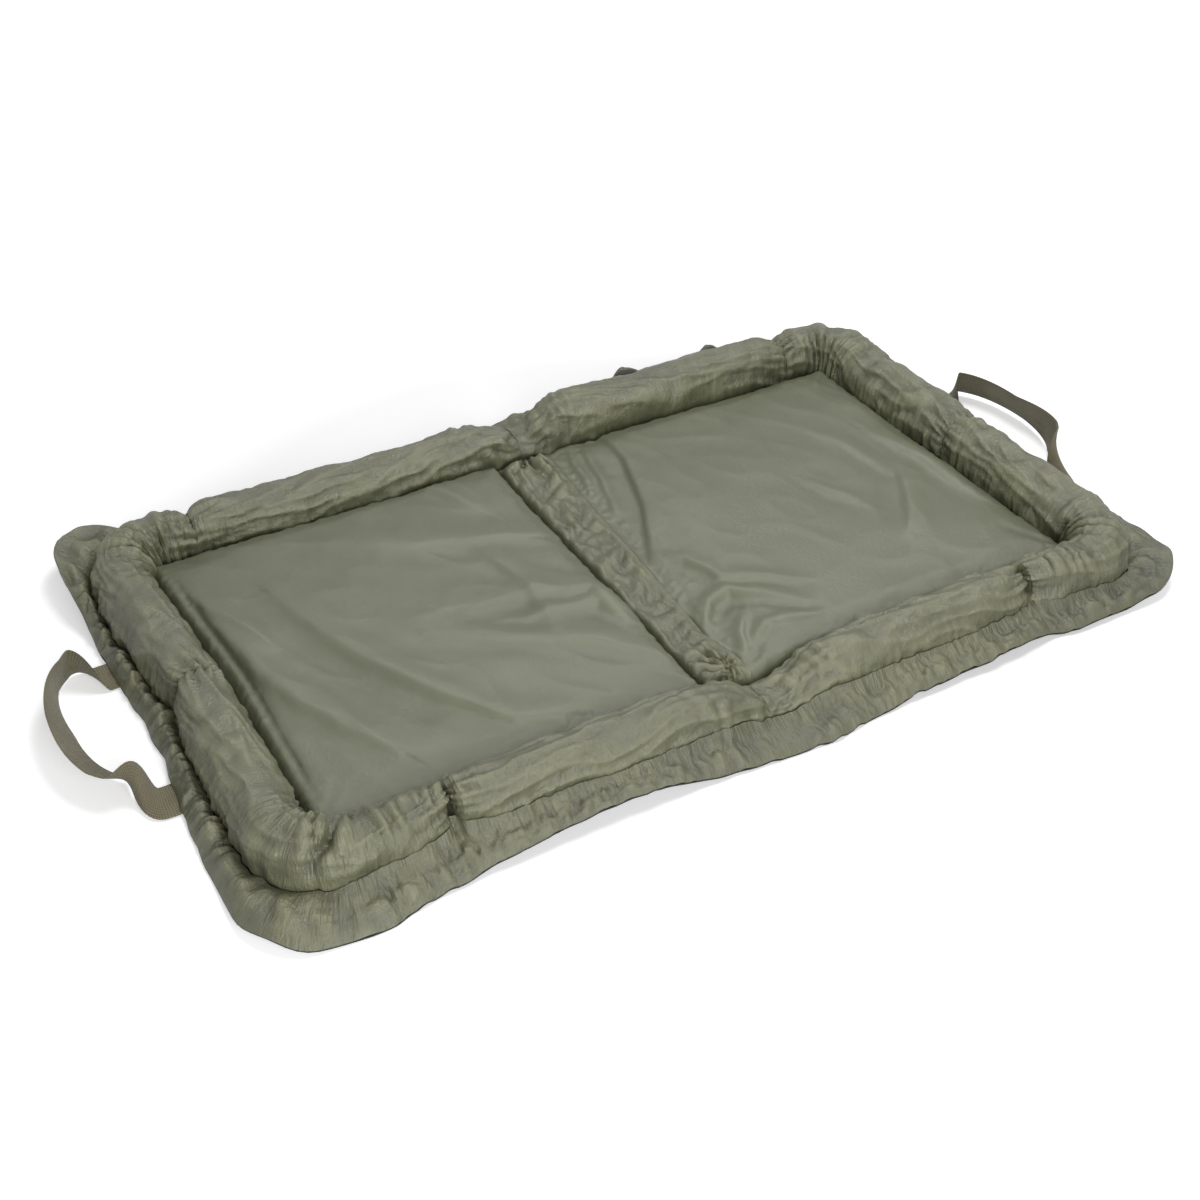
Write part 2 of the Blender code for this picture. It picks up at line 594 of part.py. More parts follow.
def add_fold_strip(carrier):
    """Base, padding, cover, slack rim sleeves and skirts of the strip that the mat folds along."""
    low = (-STRIP_EDGE_X, -HALF_WIDTH, 0)
    high = (STRIP_EDGE_X, HALF_WIDTH, BASE_THICKNESS)
    add_piece("fold_base_sheet", box_shape(low, high), DARK_BASE, carrier, smooth=False)

    pad_half_length = FLOOR_HALF_WIDTH - STRIP_ROUND
    low = (-STRIP_PAD_WIDTH / 2, -pad_half_length, SEAT_HEIGHT)
    high = (STRIP_PAD_WIDTH / 2, pad_half_length, SEAT_HEIGHT + STRIP_PAD_THICKNESS)
    add_rounded_block("fold_strip_pad", low, high, STRIP_ROUND / 2, STRIP_PAD_ROUND, carrier)

    def strip_surface(along, across):
        x = (2 * crowded(along) - 1) * STRIP_EDGE_X
        y = (2 * across - 1) * FLOOR_HALF_WIDTH
        inside = min(quarter_round(STRIP_EDGE_X - abs(x), STRIP_ROUND),
                     quarter_round(FLOOR_HALF_WIDTH - abs(y), STRIP_ROUND))
        ripple = STRIP_RIPPLE * math.sin(2 * math.pi * (y + x / 2) / STRIP_RIPPLE_PITCH)
        height = FLOOR_EDGE_HEIGHT + inside * (STRIP_HEIGHT - FLOOR_EDGE_HEIGHT + STRIP_RIPPLE + ripple)
        return Vector((x, y, height))

    add_cloth("fold_strip_cover", strip_surface, STRIP_COLUMN_COUNT, STRIP_ROW_COUNT, OLIVE_CLOTH, carrier)

    for place, facing in (("front", -1), ("back", 1)):

        def slack_surface(along, across, facing=facing):
            x = (2 * along - 1) * STRIP_EDGE_X
            settled = ease(2 * min(along, 1 - along))
            crumple = CRUMPLE * settled * math.sin(3 * math.pi * across) * math.sin(math.pi * across)
            reach, lift = arch(across, FOLD_END_WIDTH, FOLD_END_HEIGHT)
            return Vector((x, facing * (RIM_Y + reach), SEAT_HEIGHT + lift + crumple))

        def skirt_surface(along, across, facing=facing):
            x = (2 * along - 1) * STRIP_EDGE_X
            inner = RIM_Y + RIM_WIDTH / 2 - SKIRT_TUCK
            y = inner + (HALF_WIDTH - inner) * across
            lift = SKIRT_RUFFLE * across * ease(2 * min(along, 1 - along))
            return Vector((x, facing * y, SEAT_HEIGHT + FABRIC_THICKNESS + lift))

        sleeve = f"fold_{place}_slack_sleeve"
        add_cloth(sleeve, slack_surface, STRIP_COLUMN_COUNT, SLEEVE_ROW_COUNT, OLIVE_CLOTH, carrier)
        skirt = f"fold_{place}_skirt"
        add_cloth(skirt, skirt_surface, STRIP_COLUMN_COUNT, SKIRT_ROW_COUNT, SHADED_CLOTH, carrier)


def main():
    clear_scene()
    left_half = make_carrier("left_half", (0, 0, 0))
    spine = make_carrier("fold_axis_left", (-FOLD_LINE_X, 0, FOLD_AXIS_HEIGHT), left_half)
    right_half = make_carrier("fold_axis_right", (FOLD_LINE_X, 0, FOLD_AXIS_HEIGHT), spine)
    halves = (("left", -1, left_half, LEFT_FOLD_SHARES, LEFT_LIFT_SHARES, LEFT_HANDLE_ARCH),
              ("right", 1, right_half, RIGHT_FOLD_SHARES, RIGHT_LIFT_SHARES, RIGHT_HANDLE_ARCH))
    for word, side, carrier, fold_shares, lift_shares, arch_height in halves:
        add_base(word, side, carrier)
        add_floor(word, side, fold_shares, carrier)
        add_rim(word, side, carrier)
        add_skirt(word, side, lift_shares, carrier)
        root = (side * HANDLE_AXIS_X, 0, HANDLE_AXIS_HEIGHT)
        handle_axis = make_carrier(f"{word}_handle_axis", root, carrier)
        add_handle(word, side, arch_height, handle_axis, carrier)
    add_fold_strip(spine)


main()
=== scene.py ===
"""Looks of a folding unhooking mat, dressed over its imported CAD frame.

The mat lies open on the ground. X runs along its length and Y towards its back edge. Each half is described with x
growing away from the fold, and side mirrors it: -1 for the left half and 1 for the right. A surface is worked out as
a table of points, one column for each place along it and one row for each place across it.
"""
import math

import bmesh
import bpy
import numpy as np
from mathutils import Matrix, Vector


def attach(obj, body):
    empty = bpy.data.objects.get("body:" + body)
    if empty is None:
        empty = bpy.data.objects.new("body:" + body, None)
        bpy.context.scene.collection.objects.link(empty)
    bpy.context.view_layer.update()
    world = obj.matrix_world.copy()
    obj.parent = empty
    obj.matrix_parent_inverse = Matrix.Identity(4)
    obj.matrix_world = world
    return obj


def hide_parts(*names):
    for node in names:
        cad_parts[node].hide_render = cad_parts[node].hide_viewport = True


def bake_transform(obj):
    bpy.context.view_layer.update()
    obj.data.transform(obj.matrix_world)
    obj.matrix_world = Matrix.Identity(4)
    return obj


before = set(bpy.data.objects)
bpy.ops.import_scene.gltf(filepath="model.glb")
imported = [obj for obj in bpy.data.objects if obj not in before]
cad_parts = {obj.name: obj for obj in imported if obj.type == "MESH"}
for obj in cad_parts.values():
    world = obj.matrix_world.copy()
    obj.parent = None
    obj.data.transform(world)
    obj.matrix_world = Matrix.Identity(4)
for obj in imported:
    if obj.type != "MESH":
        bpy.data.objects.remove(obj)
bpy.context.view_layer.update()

# Sizes of the frame, in metres
HALF_LENGTH = 0.500
HEM_CORNER_RADIUS = 0.056
RIM_X = 0.4395
RIM_Y = 0.2445
RIM_WIDTH = 0.065
RIM_HEIGHT = 0.064
RIM_CORNER_RADIUS = 0.050
RIM_FOOT_ANGLE = math.radians(35)
SEAT_HEIGHT = 0.0013
FOLD_LINE_X = 0.03515
FLOOR_END_X = {-1: 0.415, 1: 0.408}
FLOOR_HALF_WIDTH = 0.220
FLOOR_HEIGHT = 0.0190
STRIP_HEIGHT = 0.0130
FLOOR_CORNER_RADIUS = 0.020
FRONT_RUN = RIM_X - RIM_CORNER_RADIUS - FOLD_LINE_X
CORNER_RUN = RIM_CORNER_RADIUS * math.pi / 2
END_RUN = 2 * (RIM_Y - RIM_CORNER_RADIUS)
RIM_LENGTH = 2 * FRONT_RUN + 2 * CORNER_RUN + END_RUN
FRONT_PINCH = 0.310 - FOLD_LINE_X
END_PINCH = RIM_LENGTH / 2
BACK_PINCH = RIM_LENGTH - (0.360 - FOLD_LINE_X)
SIDES = (("left", -1), ("right", 1))

# Places beside the fold, measured from the middle of the mat
# Where the two covers of the fold strip meet
SPLIT_X = -0.006
# All other pieces of a half run on to the middle of the mat, short of it by half a seam
PAST_FOLD = FOLD_LINE_X - 0.00004
# Half the gap between two stretches of the rim
HALF_PINCH_GAP = 0.00015
# Border of the floor and strip cloth: how high it is sewn on, and the radius that it rises in
BORDER_HEIGHT = 0.0095
BORDER_RADIUS = 0.012
CLOTH_THICKNESS = 0.001
# Points nearer than this are joined, and edges that bend by more than this angle stay sharp
MERGE_DISTANCE = 0.00002
SHARP_ANGLE = math.radians(62)


def ease(share):
    """Rises smoothly from 0 to 1 while its share does."""
    held = np.clip(share, 0, 1)
    return held * held * (3 - 2 * held)


def quarter_round(distance, radius):
    """Height of a rounded border, from 0 at its edge to 1 at a radius inside it."""
    held = np.clip(distance / radius, 0, 1)
    return np.sqrt(held * (2 - held))


def bell(distance, reach):
    """1 at distance 0, and nearly 0 past twice the reach."""
    return np.exp(-(distance / reach) ** 2)


def curve(place, marks):
    """Value at a place on a smooth line through marks, each a place and a value."""
    places, values = np.array(marks, float).T
    slopes = np.gradient(values, places)
    cell = np.clip(np.searchsorted(places, place) - 1, 0, len(places) - 2)
    span = places[cell + 1] - places[cell]
    t = np.clip((place - places[cell]) / span, 0, 1)
    return ((2 * t ** 3 - 3 * t ** 2 + 1) * values[cell] + (t ** 3 - 2 * t ** 2 + t) * span * slopes[cell]
            + (3 * t ** 2 - 2 * t ** 3) * values[cell + 1] + (t ** 3 - t ** 2) * span * slopes[cell + 1])


# ---- Uneven cloth ----

def soft_noise(x, y, seed):
    """Smooth noise from about -1 to 1 over two numbers that grow by 1 for each lump."""
    turns = np.random.RandomState(seed).rand(64, 64) * 2 * math.pi
    x_cell, y_cell = np.floor(x).astype(int), np.floor(y).astype(int)
    x_in, y_in = x - x_cell, y - y_cell

    def corner(right, up):
        turn = turns[(x_cell + right) % 64, (y_cell + up) % 64]
        return np.cos(turn) * (x_in - right) + np.sin(turn) * (y_in - up)

    x_mix = x_in ** 3 * (x_in * (6 * x_in - 15) + 10)
    y_mix = y_in ** 3 * (y_in * (6 * y_in - 15) + 10)
    near = corner(0, 0) * (1 - x_mix) + corner(1, 0) * x_mix
    far = corner(0, 1) * (1 - x_mix) + corner(1, 1) * x_mix
    return 1.5 * (near * (1 - y_mix) + far * y_mix)


def creases(x, y, seed):
    """Soft swells between narrow valleys, as puckered cloth has, from about -0.5 to 1."""
    return 2 * np.abs(soft_noise(x, y, seed)) - 0.5


def ridges(x, y, seed):
    """Narrow raised folds on level ground, from 0 to 1."""
    return np.clip(1 - 2.2 * np.abs(soft_noise(x, y, seed)), 0, 1) ** 1.5


def line_distance(x, y, points):
    """Distance to a line through points, above 0 on its left side, and the share of its length at the nearest spot."""
    points = np.array(points, float)
    spans = np.hypot(*np.diff(points, axis=0).T)
    best = np.full(np.shape(x), 9.0)
    sign = np.ones(np.shape(x))
    share = np.zeros(np.shape(x))
    passed = 0
    for start, end, span in zip(points, points[1:], spans):
        run = (end - start) / span
        along = np.clip((x - start[0]) * run[0] + (y - start[1]) * run[1], 0, span)
        off_x = x - start[0] - along * run[0]
        off_y = y - start[1] - along * run[1]
        off = np.hypot(off_x, off_y)
        nearer = off < best
        best = np.where(nearer, off, best)
        sign = np.where(nearer, np.sign(run[0] * off_y - run[1] * off_x), sign)
        share = np.where(nearer, (passed + along) / spans.sum(), share)
        passed += span
    return best * sign, share


# ---- Tables of points and their meshes ----

def read_points(mesh):
    flat = np.zeros(len(mesh.vertices) * 3, np.float32)
    mesh.vertices.foreach_get("co", flat)
    return flat.reshape(-1, 3).astype(float)


def write_points(mesh, points):
    mesh.vertices.foreach_set("co", np.asarray(points, np.float32).ravel())
    mesh.update()


def share_table(columns, rows):
    """Shares from 0 to 1 along and across a table."""
    return np.meshgrid(np.linspace(0, 1, columns + 1), np.linspace(0, 1, rows + 1), indexing="ij")


def run_lengths(points):
    """Length from the first column to each column, as a mean over the rows."""
    steps = np.linalg.norm(np.diff(points, axis=0), axis=2).mean(axis=1)
    return np.concatenate(([0], np.cumsum(steps)))


def refine(table, times):
    """A smooth table with times as many steps in its first direction."""
    padded = np.concatenate((2 * table[:1] - table[1:2], table, 2 * table[-1:] - table[-2:-1]))
    place = np.arange((len(table) - 1) * times + 1) / times
    cell = np.minimum(place.astype(int), len(table) - 2)
    t = (place - cell).reshape(-1, *[1] * (table.ndim - 1))
    return ((1 - t) ** 3 * padded[cell] + (3 * t ** 3 - 6 * t ** 2 + 4) * padded[cell + 1]
            + (1 + 3 * t * (1 + t - t * t)) * padded[cell + 2] + t ** 3 * padded[cell + 3]) / 6


def refine_both(table, times):
    return refine(refine(table, times).swapaxes(0, 1), times).swapaxes(0, 1)


def table_normals(points):
    """Outward directions of a table, which point up at its middle."""
    normals = np.cross(np.gradient(points, axis=0), np.gradient(points, axis=1))
    lengths = np.linalg.norm(normals, axis=2, keepdims=True)
    normals = normals / np.maximum(lengths, 1e-12)
    return -normals if normals[..., 2].sum() < 0 else normals


def push_out(points, height):
    return points + table_normals(points) * height[..., None]


def lay_mesh(name, points):
    """A grid through a table of points, and the column and row of each of its vertices."""
    columns, rows = points.shape[0] - 1, points.shape[1] - 1
    shape = bmesh.new()
    bmesh.ops.create_grid(shape, x_segments=columns, y_segments=rows, size=1)
    mesh = bpy.data.meshes.new(name)
    shape.to_mesh(mesh)
    shape.free()
    shares = (read_points(mesh)[:, :2] + 1) / 2
    column = np.rint(shares[:, 0] * columns).astype(int)
    row = np.rint(shares[:, 1] * rows).astype(int)
    write_points(mesh, points[column, row])
    return mesh, column, row


def cloth_piece(name, points, stand=None, tight=None):
    """A piece through a table of points, with a UV map in metres.

    Two attributes go with it: how high each point stands on its folds, and how tightly the cloth is gathered.
    """
    mesh, column, row = lay_mesh(name, points)
    spots = np.stack((run_lengths(points)[column], run_lengths(points.swapaxes(0, 1))[row]), 1)
    corner = np.zeros(len(mesh.loops), np.int32)
    mesh.loops.foreach_get("vertex_index", corner)
    mesh.uv_layers.new(name="cloth").data.foreach_set("uv", spots[corner].astype(np.float32).ravel())
    for name_of, table in (("stand", stand), ("tight", tight)):
        layer = mesh.attributes.new(name_of, "FLOAT", "POINT")
        if table is not None:
            layer.data.foreach_set("value", table[column, row].astype(np.float32))
    piece = bpy.data.objects.new(name, mesh)
    bpy.context.scene.collection.objects.link(piece)
    return piece


def finish_piece(piece, material, closed=True, joined=True):
    """Joins meeting edges, turns the faces outwards, or up on an open sheet, and smooths all but sharp edges.

    An open sheet also gets its thickness.
    """
    shape = bmesh.new()
    shape.from_mesh(piece.data)
    if joined:
        bmesh.ops.remove_doubles(shape, verts=shape.verts, dist=MERGE_DISTANCE)
        bmesh.ops.recalc_face_normals(shape, faces=shape.faces)
    if not closed:
        shape.normal_update()
        if sum(face.normal.z * face.calc_area() for face in shape.faces) < 0:
            bmesh.ops.reverse_faces(shape, faces=shape.faces)
    for face in shape.faces:
        face.smooth = True
    for edge in shape.edges:
        if edge.is_boundary or len(edge.link_faces) == 2 and edge.calc_face_angle() > SHARP_ANGLE:
            edge.smooth = False
    shape.to_mesh(piece.data)
    shape.free()
    piece.data.materials.append(material)
    if not closed:
        wall = piece.modifiers.new("thickness", "SOLIDIFY")
        wall.thickness = CLOTH_THICKNESS
        wall.offset = -1


def close_under(points, stand, floor_height, rows=6, ends=(4, 4)):
    """A closed body from a table that forms its top: a level underside, and ends that close to a pole."""
    inner, outer = points[:, :1], points[:, -1:]
    step = np.linspace(0, 1, rows + 2)[None, 1:, None]
    under = outer * (1 - step) + inner * step
    under[..., 2] = floor_height
    ring = np.concatenate((points, under), 1)
    ring[:, -1] = points[:, 0]
    height = np.concatenate((stand, np.zeros(under.shape[:2])), 1)

    def cap(section, count):
        middle = section.mean(axis=0)
        scale = np.linspace(0, 1, count + 1)[:-1, None, None]
        return middle + (section - middle) * scale

    caps = [cap(ring[0], ends[0]), ring, cap(ring[-1], ends[1])[::-1]]
    flat = [np.zeros((ends[0], height.shape[1])), height, np.zeros((ends[1], height.shape[1]))]
    return np.concatenate(caps), np.concatenate(flat)


def close_floor(points, stand):
    """A closed body from a table that forms its top: its border drops to a level underside of the same grid."""
    height = np.pad(stand, 1, mode="edge")
    rim = np.concatenate((points[:1], points, points[-1:]))
    rim = np.concatenate((rim[:, :1], rim, rim[:, -1:]), 1)
    under = rim.copy()
    under[..., 2] = SEAT_HEIGHT
    top = rim.copy()
    for edge in (np.s_[0], np.s_[-1], np.s_[:, 0], np.s_[:, -1]):
        top[edge] = under[edge]
    lower = under[:, ::-1][:, 1:]
    return np.concatenate((top, lower), 1), np.concatenate((height, np.zeros(lower.shape[:2])), 1)


# Settings of the simulated cloth, how long it is blown up, how uneven it starts, and how far a point may move
PANEL_CLOTH = {"quality": 7, "mass": 0.3, "tension_stiffness": 15, "compression_stiffness": 15,
               "shear_stiffness": 3, "tension_damping": 10, "compression_damping": 10, "shear_damping": 8,
               "pin_stiffness": 1}
PANEL_FRAMES = 20
PANEL_LUMPS = 0.0006
PANEL_REACH = 0.006


def blow_up(points, cut, pressure, bending, seed):
    """Cloth simulation of a panel that is sewn down at its border and pushed out from inside.

    cut holds the lengths along and across that the panel was cut to, which are longer than the space it fills, so
    that the cloth puckers. No point moves further than PANEL_REACH.
    """
    lumps = np.random.RandomState(seed).rand(*points.shape[:2]) - 0.5
    lumps[[0, -1], :] = 0
    lumps[:, [0, -1]] = 0
    mesh, column, row = lay_mesh("panel", push_out(points, PANEL_LUMPS * lumps))
    if sum(face.normal.z * face.area for face in mesh.polygons) < 0:
        mesh.flip_normals()
    panel = bpy.data.objects.new("panel", mesh)
    bpy.context.scene.collection.objects.link(panel)
    panel.shape_key_add(name="sewn")
    flat = panel.shape_key_add(name="cut")
    spots = np.stack((cut[0][column], cut[1][row], np.zeros(len(column))), 1)
    flat.data.foreach_set("co", spots.astype(np.float32).ravel())
    edge = (column == 0) | (column == column.max()) | (row == 0) | (row == row.max())
    group = panel.vertex_groups.new(name="sewn")
    group.add([int(index) for index in np.flatnonzero(edge)], 1, "REPLACE")
    cloth = panel.modifiers.new("cloth", "CLOTH")
    settings = cloth.settings
    for name, value in PANEL_CLOTH.items():
        setattr(settings, name, value)
    settings.bending_stiffness = bending
    settings.vertex_group_mass = "sewn"
    settings.rest_shape_key = flat
    settings.use_pressure = True
    settings.uniform_pressure_force = pressure
    settings.effector_weights.gravity = 0
    cloth.collision_settings.use_collision = False
    cloth.collision_settings.use_self_collision = False
    cloth.point_cache.frame_start = 1
    cloth.point_cache.frame_end = PANEL_FRAMES
    scene = bpy.context.scene
    for step in range(1, PANEL_FRAMES + 1):
        scene.frame_set(step)
    blown = panel.evaluated_get(bpy.context.evaluated_depsgraph_get())
    found = np.zeros_like(points)
    found[column, row] = read_points(blown.to_mesh())
    blown.to_mesh_clear()
    bpy.data.objects.remove(panel)
    scene.frame_set(1)
    move = found - points
    far = np.linalg.norm(move, axis=2, keepdims=True)
    return points + move * np.minimum(1, PANEL_REACH / np.maximum(far, 1e-9))


def bend_at_fold(piece, side):
    if side < 0:
        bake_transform(piece)
    else:
        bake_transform(piece)


# ---- Rim ----

def rim_line(distance):
    """Plan place and outward direction on the middle line of the rim of a half."""
    mirrored = distance > RIM_LENGTH / 2
    along = np.where(mirrored, RIM_LENGTH - distance, distance)
    turn = np.clip((along - FRONT_RUN) / CORNER_RUN, 0, 1) * math.pi / 2
    end = np.clip(along - FRONT_RUN - CORNER_RUN, 0, None)
    x = FOLD_LINE_X + np.minimum(along, FRONT_RUN) + RIM_CORNER_RADIUS * np.sin(turn)
    y = -RIM_Y + RIM_CORNER_RADIUS * (1 - np.cos(turn)) + end
    turned = np.where(mirrored, -1, 1)
    return x, y * turned, np.sin(turn), -np.cos(turn) * turned


def hem_line(distance):
    """Plan place of the hem straight outwards from the rim, and the outward direction."""
    x, y, out_x, out_y = rim_line(distance)
    far = HALF_LENGTH - (RIM_X - RIM_CORNER_RADIUS)
    to_round = far - HEM_CORNER_RADIUS
    sine, cosine = np.maximum(out_x, 1e-9), np.maximum(np.abs(out_y), 1e-9)
    both = sine + cosine
    inner = np.maximum(to_round ** 2 * both ** 2 - 2 * to_round ** 2 + HEM_CORNER_RADIUS ** 2, 0)
    reach = to_round * both + np.sqrt(inner)
    reach = np.where(far * sine <= to_round * cosine, far / cosine, reach)
    reach = np.where(far * cosine <= to_round * sine, far / sine, reach) - RIM_CORNER_RADIUS
    return x + out_x * reach, y + out_y * reach, out_x, out_y


def to_fold(distance):
    return np.minimum(distance, RIM_LENGTH - distance)


SETTLE_REACH = 0.030


def settle(distance, reach=SETTLE_REACH):
    """0 at the middle of the mat, where the pieces of both halves meet in one line, and 1 past a reach."""
    return ease((to_fold(distance) + FOLD_LINE_X) / reach)


def near_corner(distance):
    """1 round a corner of the rim and 0 away from it."""
    return ease((CORNER_RUN * 1.15 - np.abs(to_fold(distance) - FRONT_RUN - CORNER_RUN / 2)) / CORNER_RUN)


# How full the rim is beside the fold: distance from the middle of the mat and share of its height
FRONT_RISE = {-1: ((0, 0.10), (0.015, 0.36), (0.035, 0.74), (0.060, 0.95), (0.090, 1)),
              1: ((0, 0.10), (0.020, 0.05), (0.038, 0.26), (0.066, 0.78), (0.095, 1))}
BACK_RISE = {-1: ((0, 0.42), (0.020, 0.60), (0.045, 0.90), (0.075, 1)),
             1: ((0, 0.42), (0.013, 0.36), (0.030, 0.66), (0.050, 0.94), (0.075, 1))}
# Height added to the rim: distance along it and height
RIM_RISE = {
    -1: ((0, -0.0110), (0.20, -0.0085), (0.32, -0.0080), (0.62, -0.0075), (0.80, -0.0085), (0.95, -0.0080),
         (1.22, -0.0085), (1.29, -0.0040)),
    1: ((0, -0.0100), (0.20, -0.0080), (0.32, -0.0070), (0.62, -0.0035), (0.80, -0.0030), (0.95, 0.0030),
        (1.22, 0.0030), (1.29, -0.0020)),
}
# How much narrower the stuffed rim is than its room, taken off its inner side: place along the edge and width
INNER_CUT = {-1: ((0, 0.011), (5, 0.011)),
             1: ((0, 0.011), (1, 0.011), (2, 0.004), (3, 0.004), (4, 0.011), (5, 0.011))}
# The same for the outer side of the front
FRONT_CUT = 0.005
# Width and height of the rim where no stuffing is in it, at the fold
SLACK_WIDTH = 0.045
SLACK_HEIGHT = 0.022
# How round its section is: 1 is an arc, and less is fuller
RIM_FULLNESS = 0.84
# Slow wave of its height, and how uneven its width and height are
RIM_WAVE_LENGTH = 0.170
RIM_WAVE_HEIGHT = 0.0012
UNEVEN_WIDTH = 0.0022
UNEVEN_HEIGHT = 0.0020
# Shares of width and height that each pinch draws in, the share of that width that goes inwards, and the pinch's own
# shape: a wide hollow and a narrow notch
PINCH_LOSS = {FRONT_PINCH: (0.50, 0.10), END_PINCH: (0.34, 0.08), BACK_PINCH: (0.34, 0.16)}
PINCH_SHIFT = 0.36
PINCH_HOLLOW_SHARE = 0.35
PINCH_HOLLOW = 0.024
PINCH_NOTCH = 0.013
# Pressure of the stuffing in the simulation, how stiffly the cloth bends, and how much longer it is cut than its way
# round the rim and over its swells
RIM_PRESSURE = 4
RIM_BENDING = 0.01
GIRTH_SLACK = 1.02
CREST_SLACK = 1.12
# Spacing of the columns of a bolster's table, and its steps from foot to foot
BOLSTER_STEP = 0.0044
BOLSTER_ROWS = 36
# How far the back of the left end is pulled outwards
LEFT_PULL = 0.013


def pulled_x(x, y, side):
    """Place along the mat of a spot at x, where the back of the left end is pulled outwards."""
    if side > 0:
        return x
    return x + LEFT_PULL * ease((y + 0.02) / 0.22) * ease((x - 0.15) / 0.25)


def rim_section(distance, side):
    """Width and height of the stuffed rim, and how far its middle lies outside the rim line."""
    from_middle = to_fold(distance) + FOLD_LINE_X
    front = curve(np.minimum(from_middle, FRONT_RISE[side][-1][0]), FRONT_RISE[side])
    back = curve(np.minimum(from_middle, BACK_RISE[side][-1][0]), BACK_RISE[side])
    full = np.where(distance < RIM_LENGTH / 2, front, back)
    settled = settle(distance)
    wave = RIM_WAVE_HEIGHT * settled * np.sin(2 * math.pi * distance / RIM_WAVE_LENGTH + side)
    cut = curve(rim_station(distance), INNER_CUT[side])
    outer_cut = FRONT_CUT * ease((1.1 - rim_station(distance)) / 0.4)
    width = SLACK_WIDTH + (RIM_WIDTH - cut - outer_cut - SLACK_WIDTH) * full
    shift = (cut - outer_cut) / 2
    height = SLACK_HEIGHT + (RIM_HEIGHT + curve(distance, RIM_RISE[side]) - SLACK_HEIGHT) * full + wave
    for pinch, (width_loss, height_loss) in PINCH_LOSS.items():
        off = np.abs(distance - pinch)
        hollow = PINCH_HOLLOW_SHARE * bell(off, PINCH_HOLLOW)
        pinched = hollow + (1 - PINCH_HOLLOW_SHARE) * (1 - quarter_round(off, PINCH_NOTCH))
        lost = width * width_loss * pinched
        width = width - lost
        shift = shift - PINCH_SHIFT * lost
        height = height * (1 - height_loss * pinched)
    width = width + settled * UNEVEN_WIDTH * soft_noise(distance / 0.05, side * 3.7 + 0 * distance, 11)
    height = height + settled * UNEVEN_HEIGHT * soft_noise(distance / 0.07, side * 5.3 + 0 * distance, 12)
    return width, height, shift


def rim_table(distance, share, side):
    """Points on the rim from its inner foot, share 0, over its crown to its outer foot, share 1."""
    distance, share = np.meshgrid(distance, share, indexing="ij")
    x, y, out_x, out_y = rim_line(distance)
    width, height, shift = rim_section(distance, side)
    angle = share * (math.pi + 2 * RIM_FOOT_ANGLE) - RIM_FOOT_ANGLE
    sine, cosine = np.sin(angle), np.cos(angle)
    reach = shift - width / 2 * np.sign(cosine) * np.abs(cosine) ** RIM_FULLNESS
    foot = math.sin(RIM_FOOT_ANGLE)
    lift = height * (np.sign(sine) * np.abs(sine) ** RIM_FULLNESS + foot ** RIM_FULLNESS) / (1 + foot ** RIM_FULLNESS)
    plan_x, plan_y = x + out_x * reach, y + out_y * reach
    points = np.stack((side * pulled_x(plan_x, plan_y, side), plan_y, SEAT_HEIGHT + lift), 2)
    return points, distance, share


# How strongly the cloth is gathered along the rim, and how lumpy its stuffing is: place along the edge and strength
GATHERS = {
    -1: ((0, 0.6), (0.9, 0.8), (1.2, 1.2), (1.8, 1.3), (2.1, 1.3), (2.9, 1.4), (3.2, 1.9), (3.9, 1.9), (4.2, 1.2),
         (5, 0.6)),
    1: ((0, 0.7), (0.9, 1.0), (1.3, 1.2), (2.0, 1.1), (2.5, 1.6), (3.0, 1.1), (3.4, 1.3), (4.0, 1.3), (4.3, 0.7),
        (5, 0.7)),
}
LUMPS = {-1: ((0, 0.2), (1, 0.3), (2.3, 0.5), (2.7, 0.5), (3.5, 0.5), (5, 0.3)),
         1: ((0, 0.3), (1, 0.5), (2.2, 1.0), (2.8, 1.0), (3.5, 0.6), (5, 0.3))}
# Length of the cloth over the rim from foot to foot
RIM_GIRTH = 0.170
# Folds on the rim: their spacing in each of two directions, and their height
PUCKERS = (0.0095, 0.11, 0.0024)
SLANT_FOLDS = (0.110, 0.019, 0.0026)
FINE_FOLDS = (0.0125, 0.020, 0.0014)
CORNER_GATHERS = (0.0125, 0.20, 0.0042)
STUFFING_LUMPS = (0.034, 0.060, 0.0030)
PINCH_RAYS = (0.015, 0.070, 0.0036)
DRAWN_PLEATS = (0.0105, 0.16, 0.0060)
SLACK_CRUMPLES = ((0.0165, 0.08, 0.0024), (0.040, 0.024, 0.0022))
# No such fold stands out by more than about this
FOLD_LIMIT = 0.010
# Depth and reach of the slit at a pinch of the front
PINCH_SLIT = 0.0038
PINCH_SLIT_REACH = 0.0032
# The one deep tuck at the front left corner: how far along the rim it is and up its girth, how deep, and the swell
# beside it
TUCK_PLACE = (0.374, 0.100)
TUCK_DEPTH = 0.0115
TUCK_SWELL = 0.0030
# Drawn pleats at the front corners, and the welt along the front: places up the girth
PLEAT_GIRTH = 0.088
WELT_GIRTH = 0.0575
WELT_GROOVE_GIRTH = 0.0650


def folded(kind, first, second, seed, shape=creases, shift=0):
    """Height of one kind of folds at places in both of its directions."""
    first_spacing, second_spacing, height = kind
    return shape(first / first_spacing, second / second_spacing + shift, seed) * height


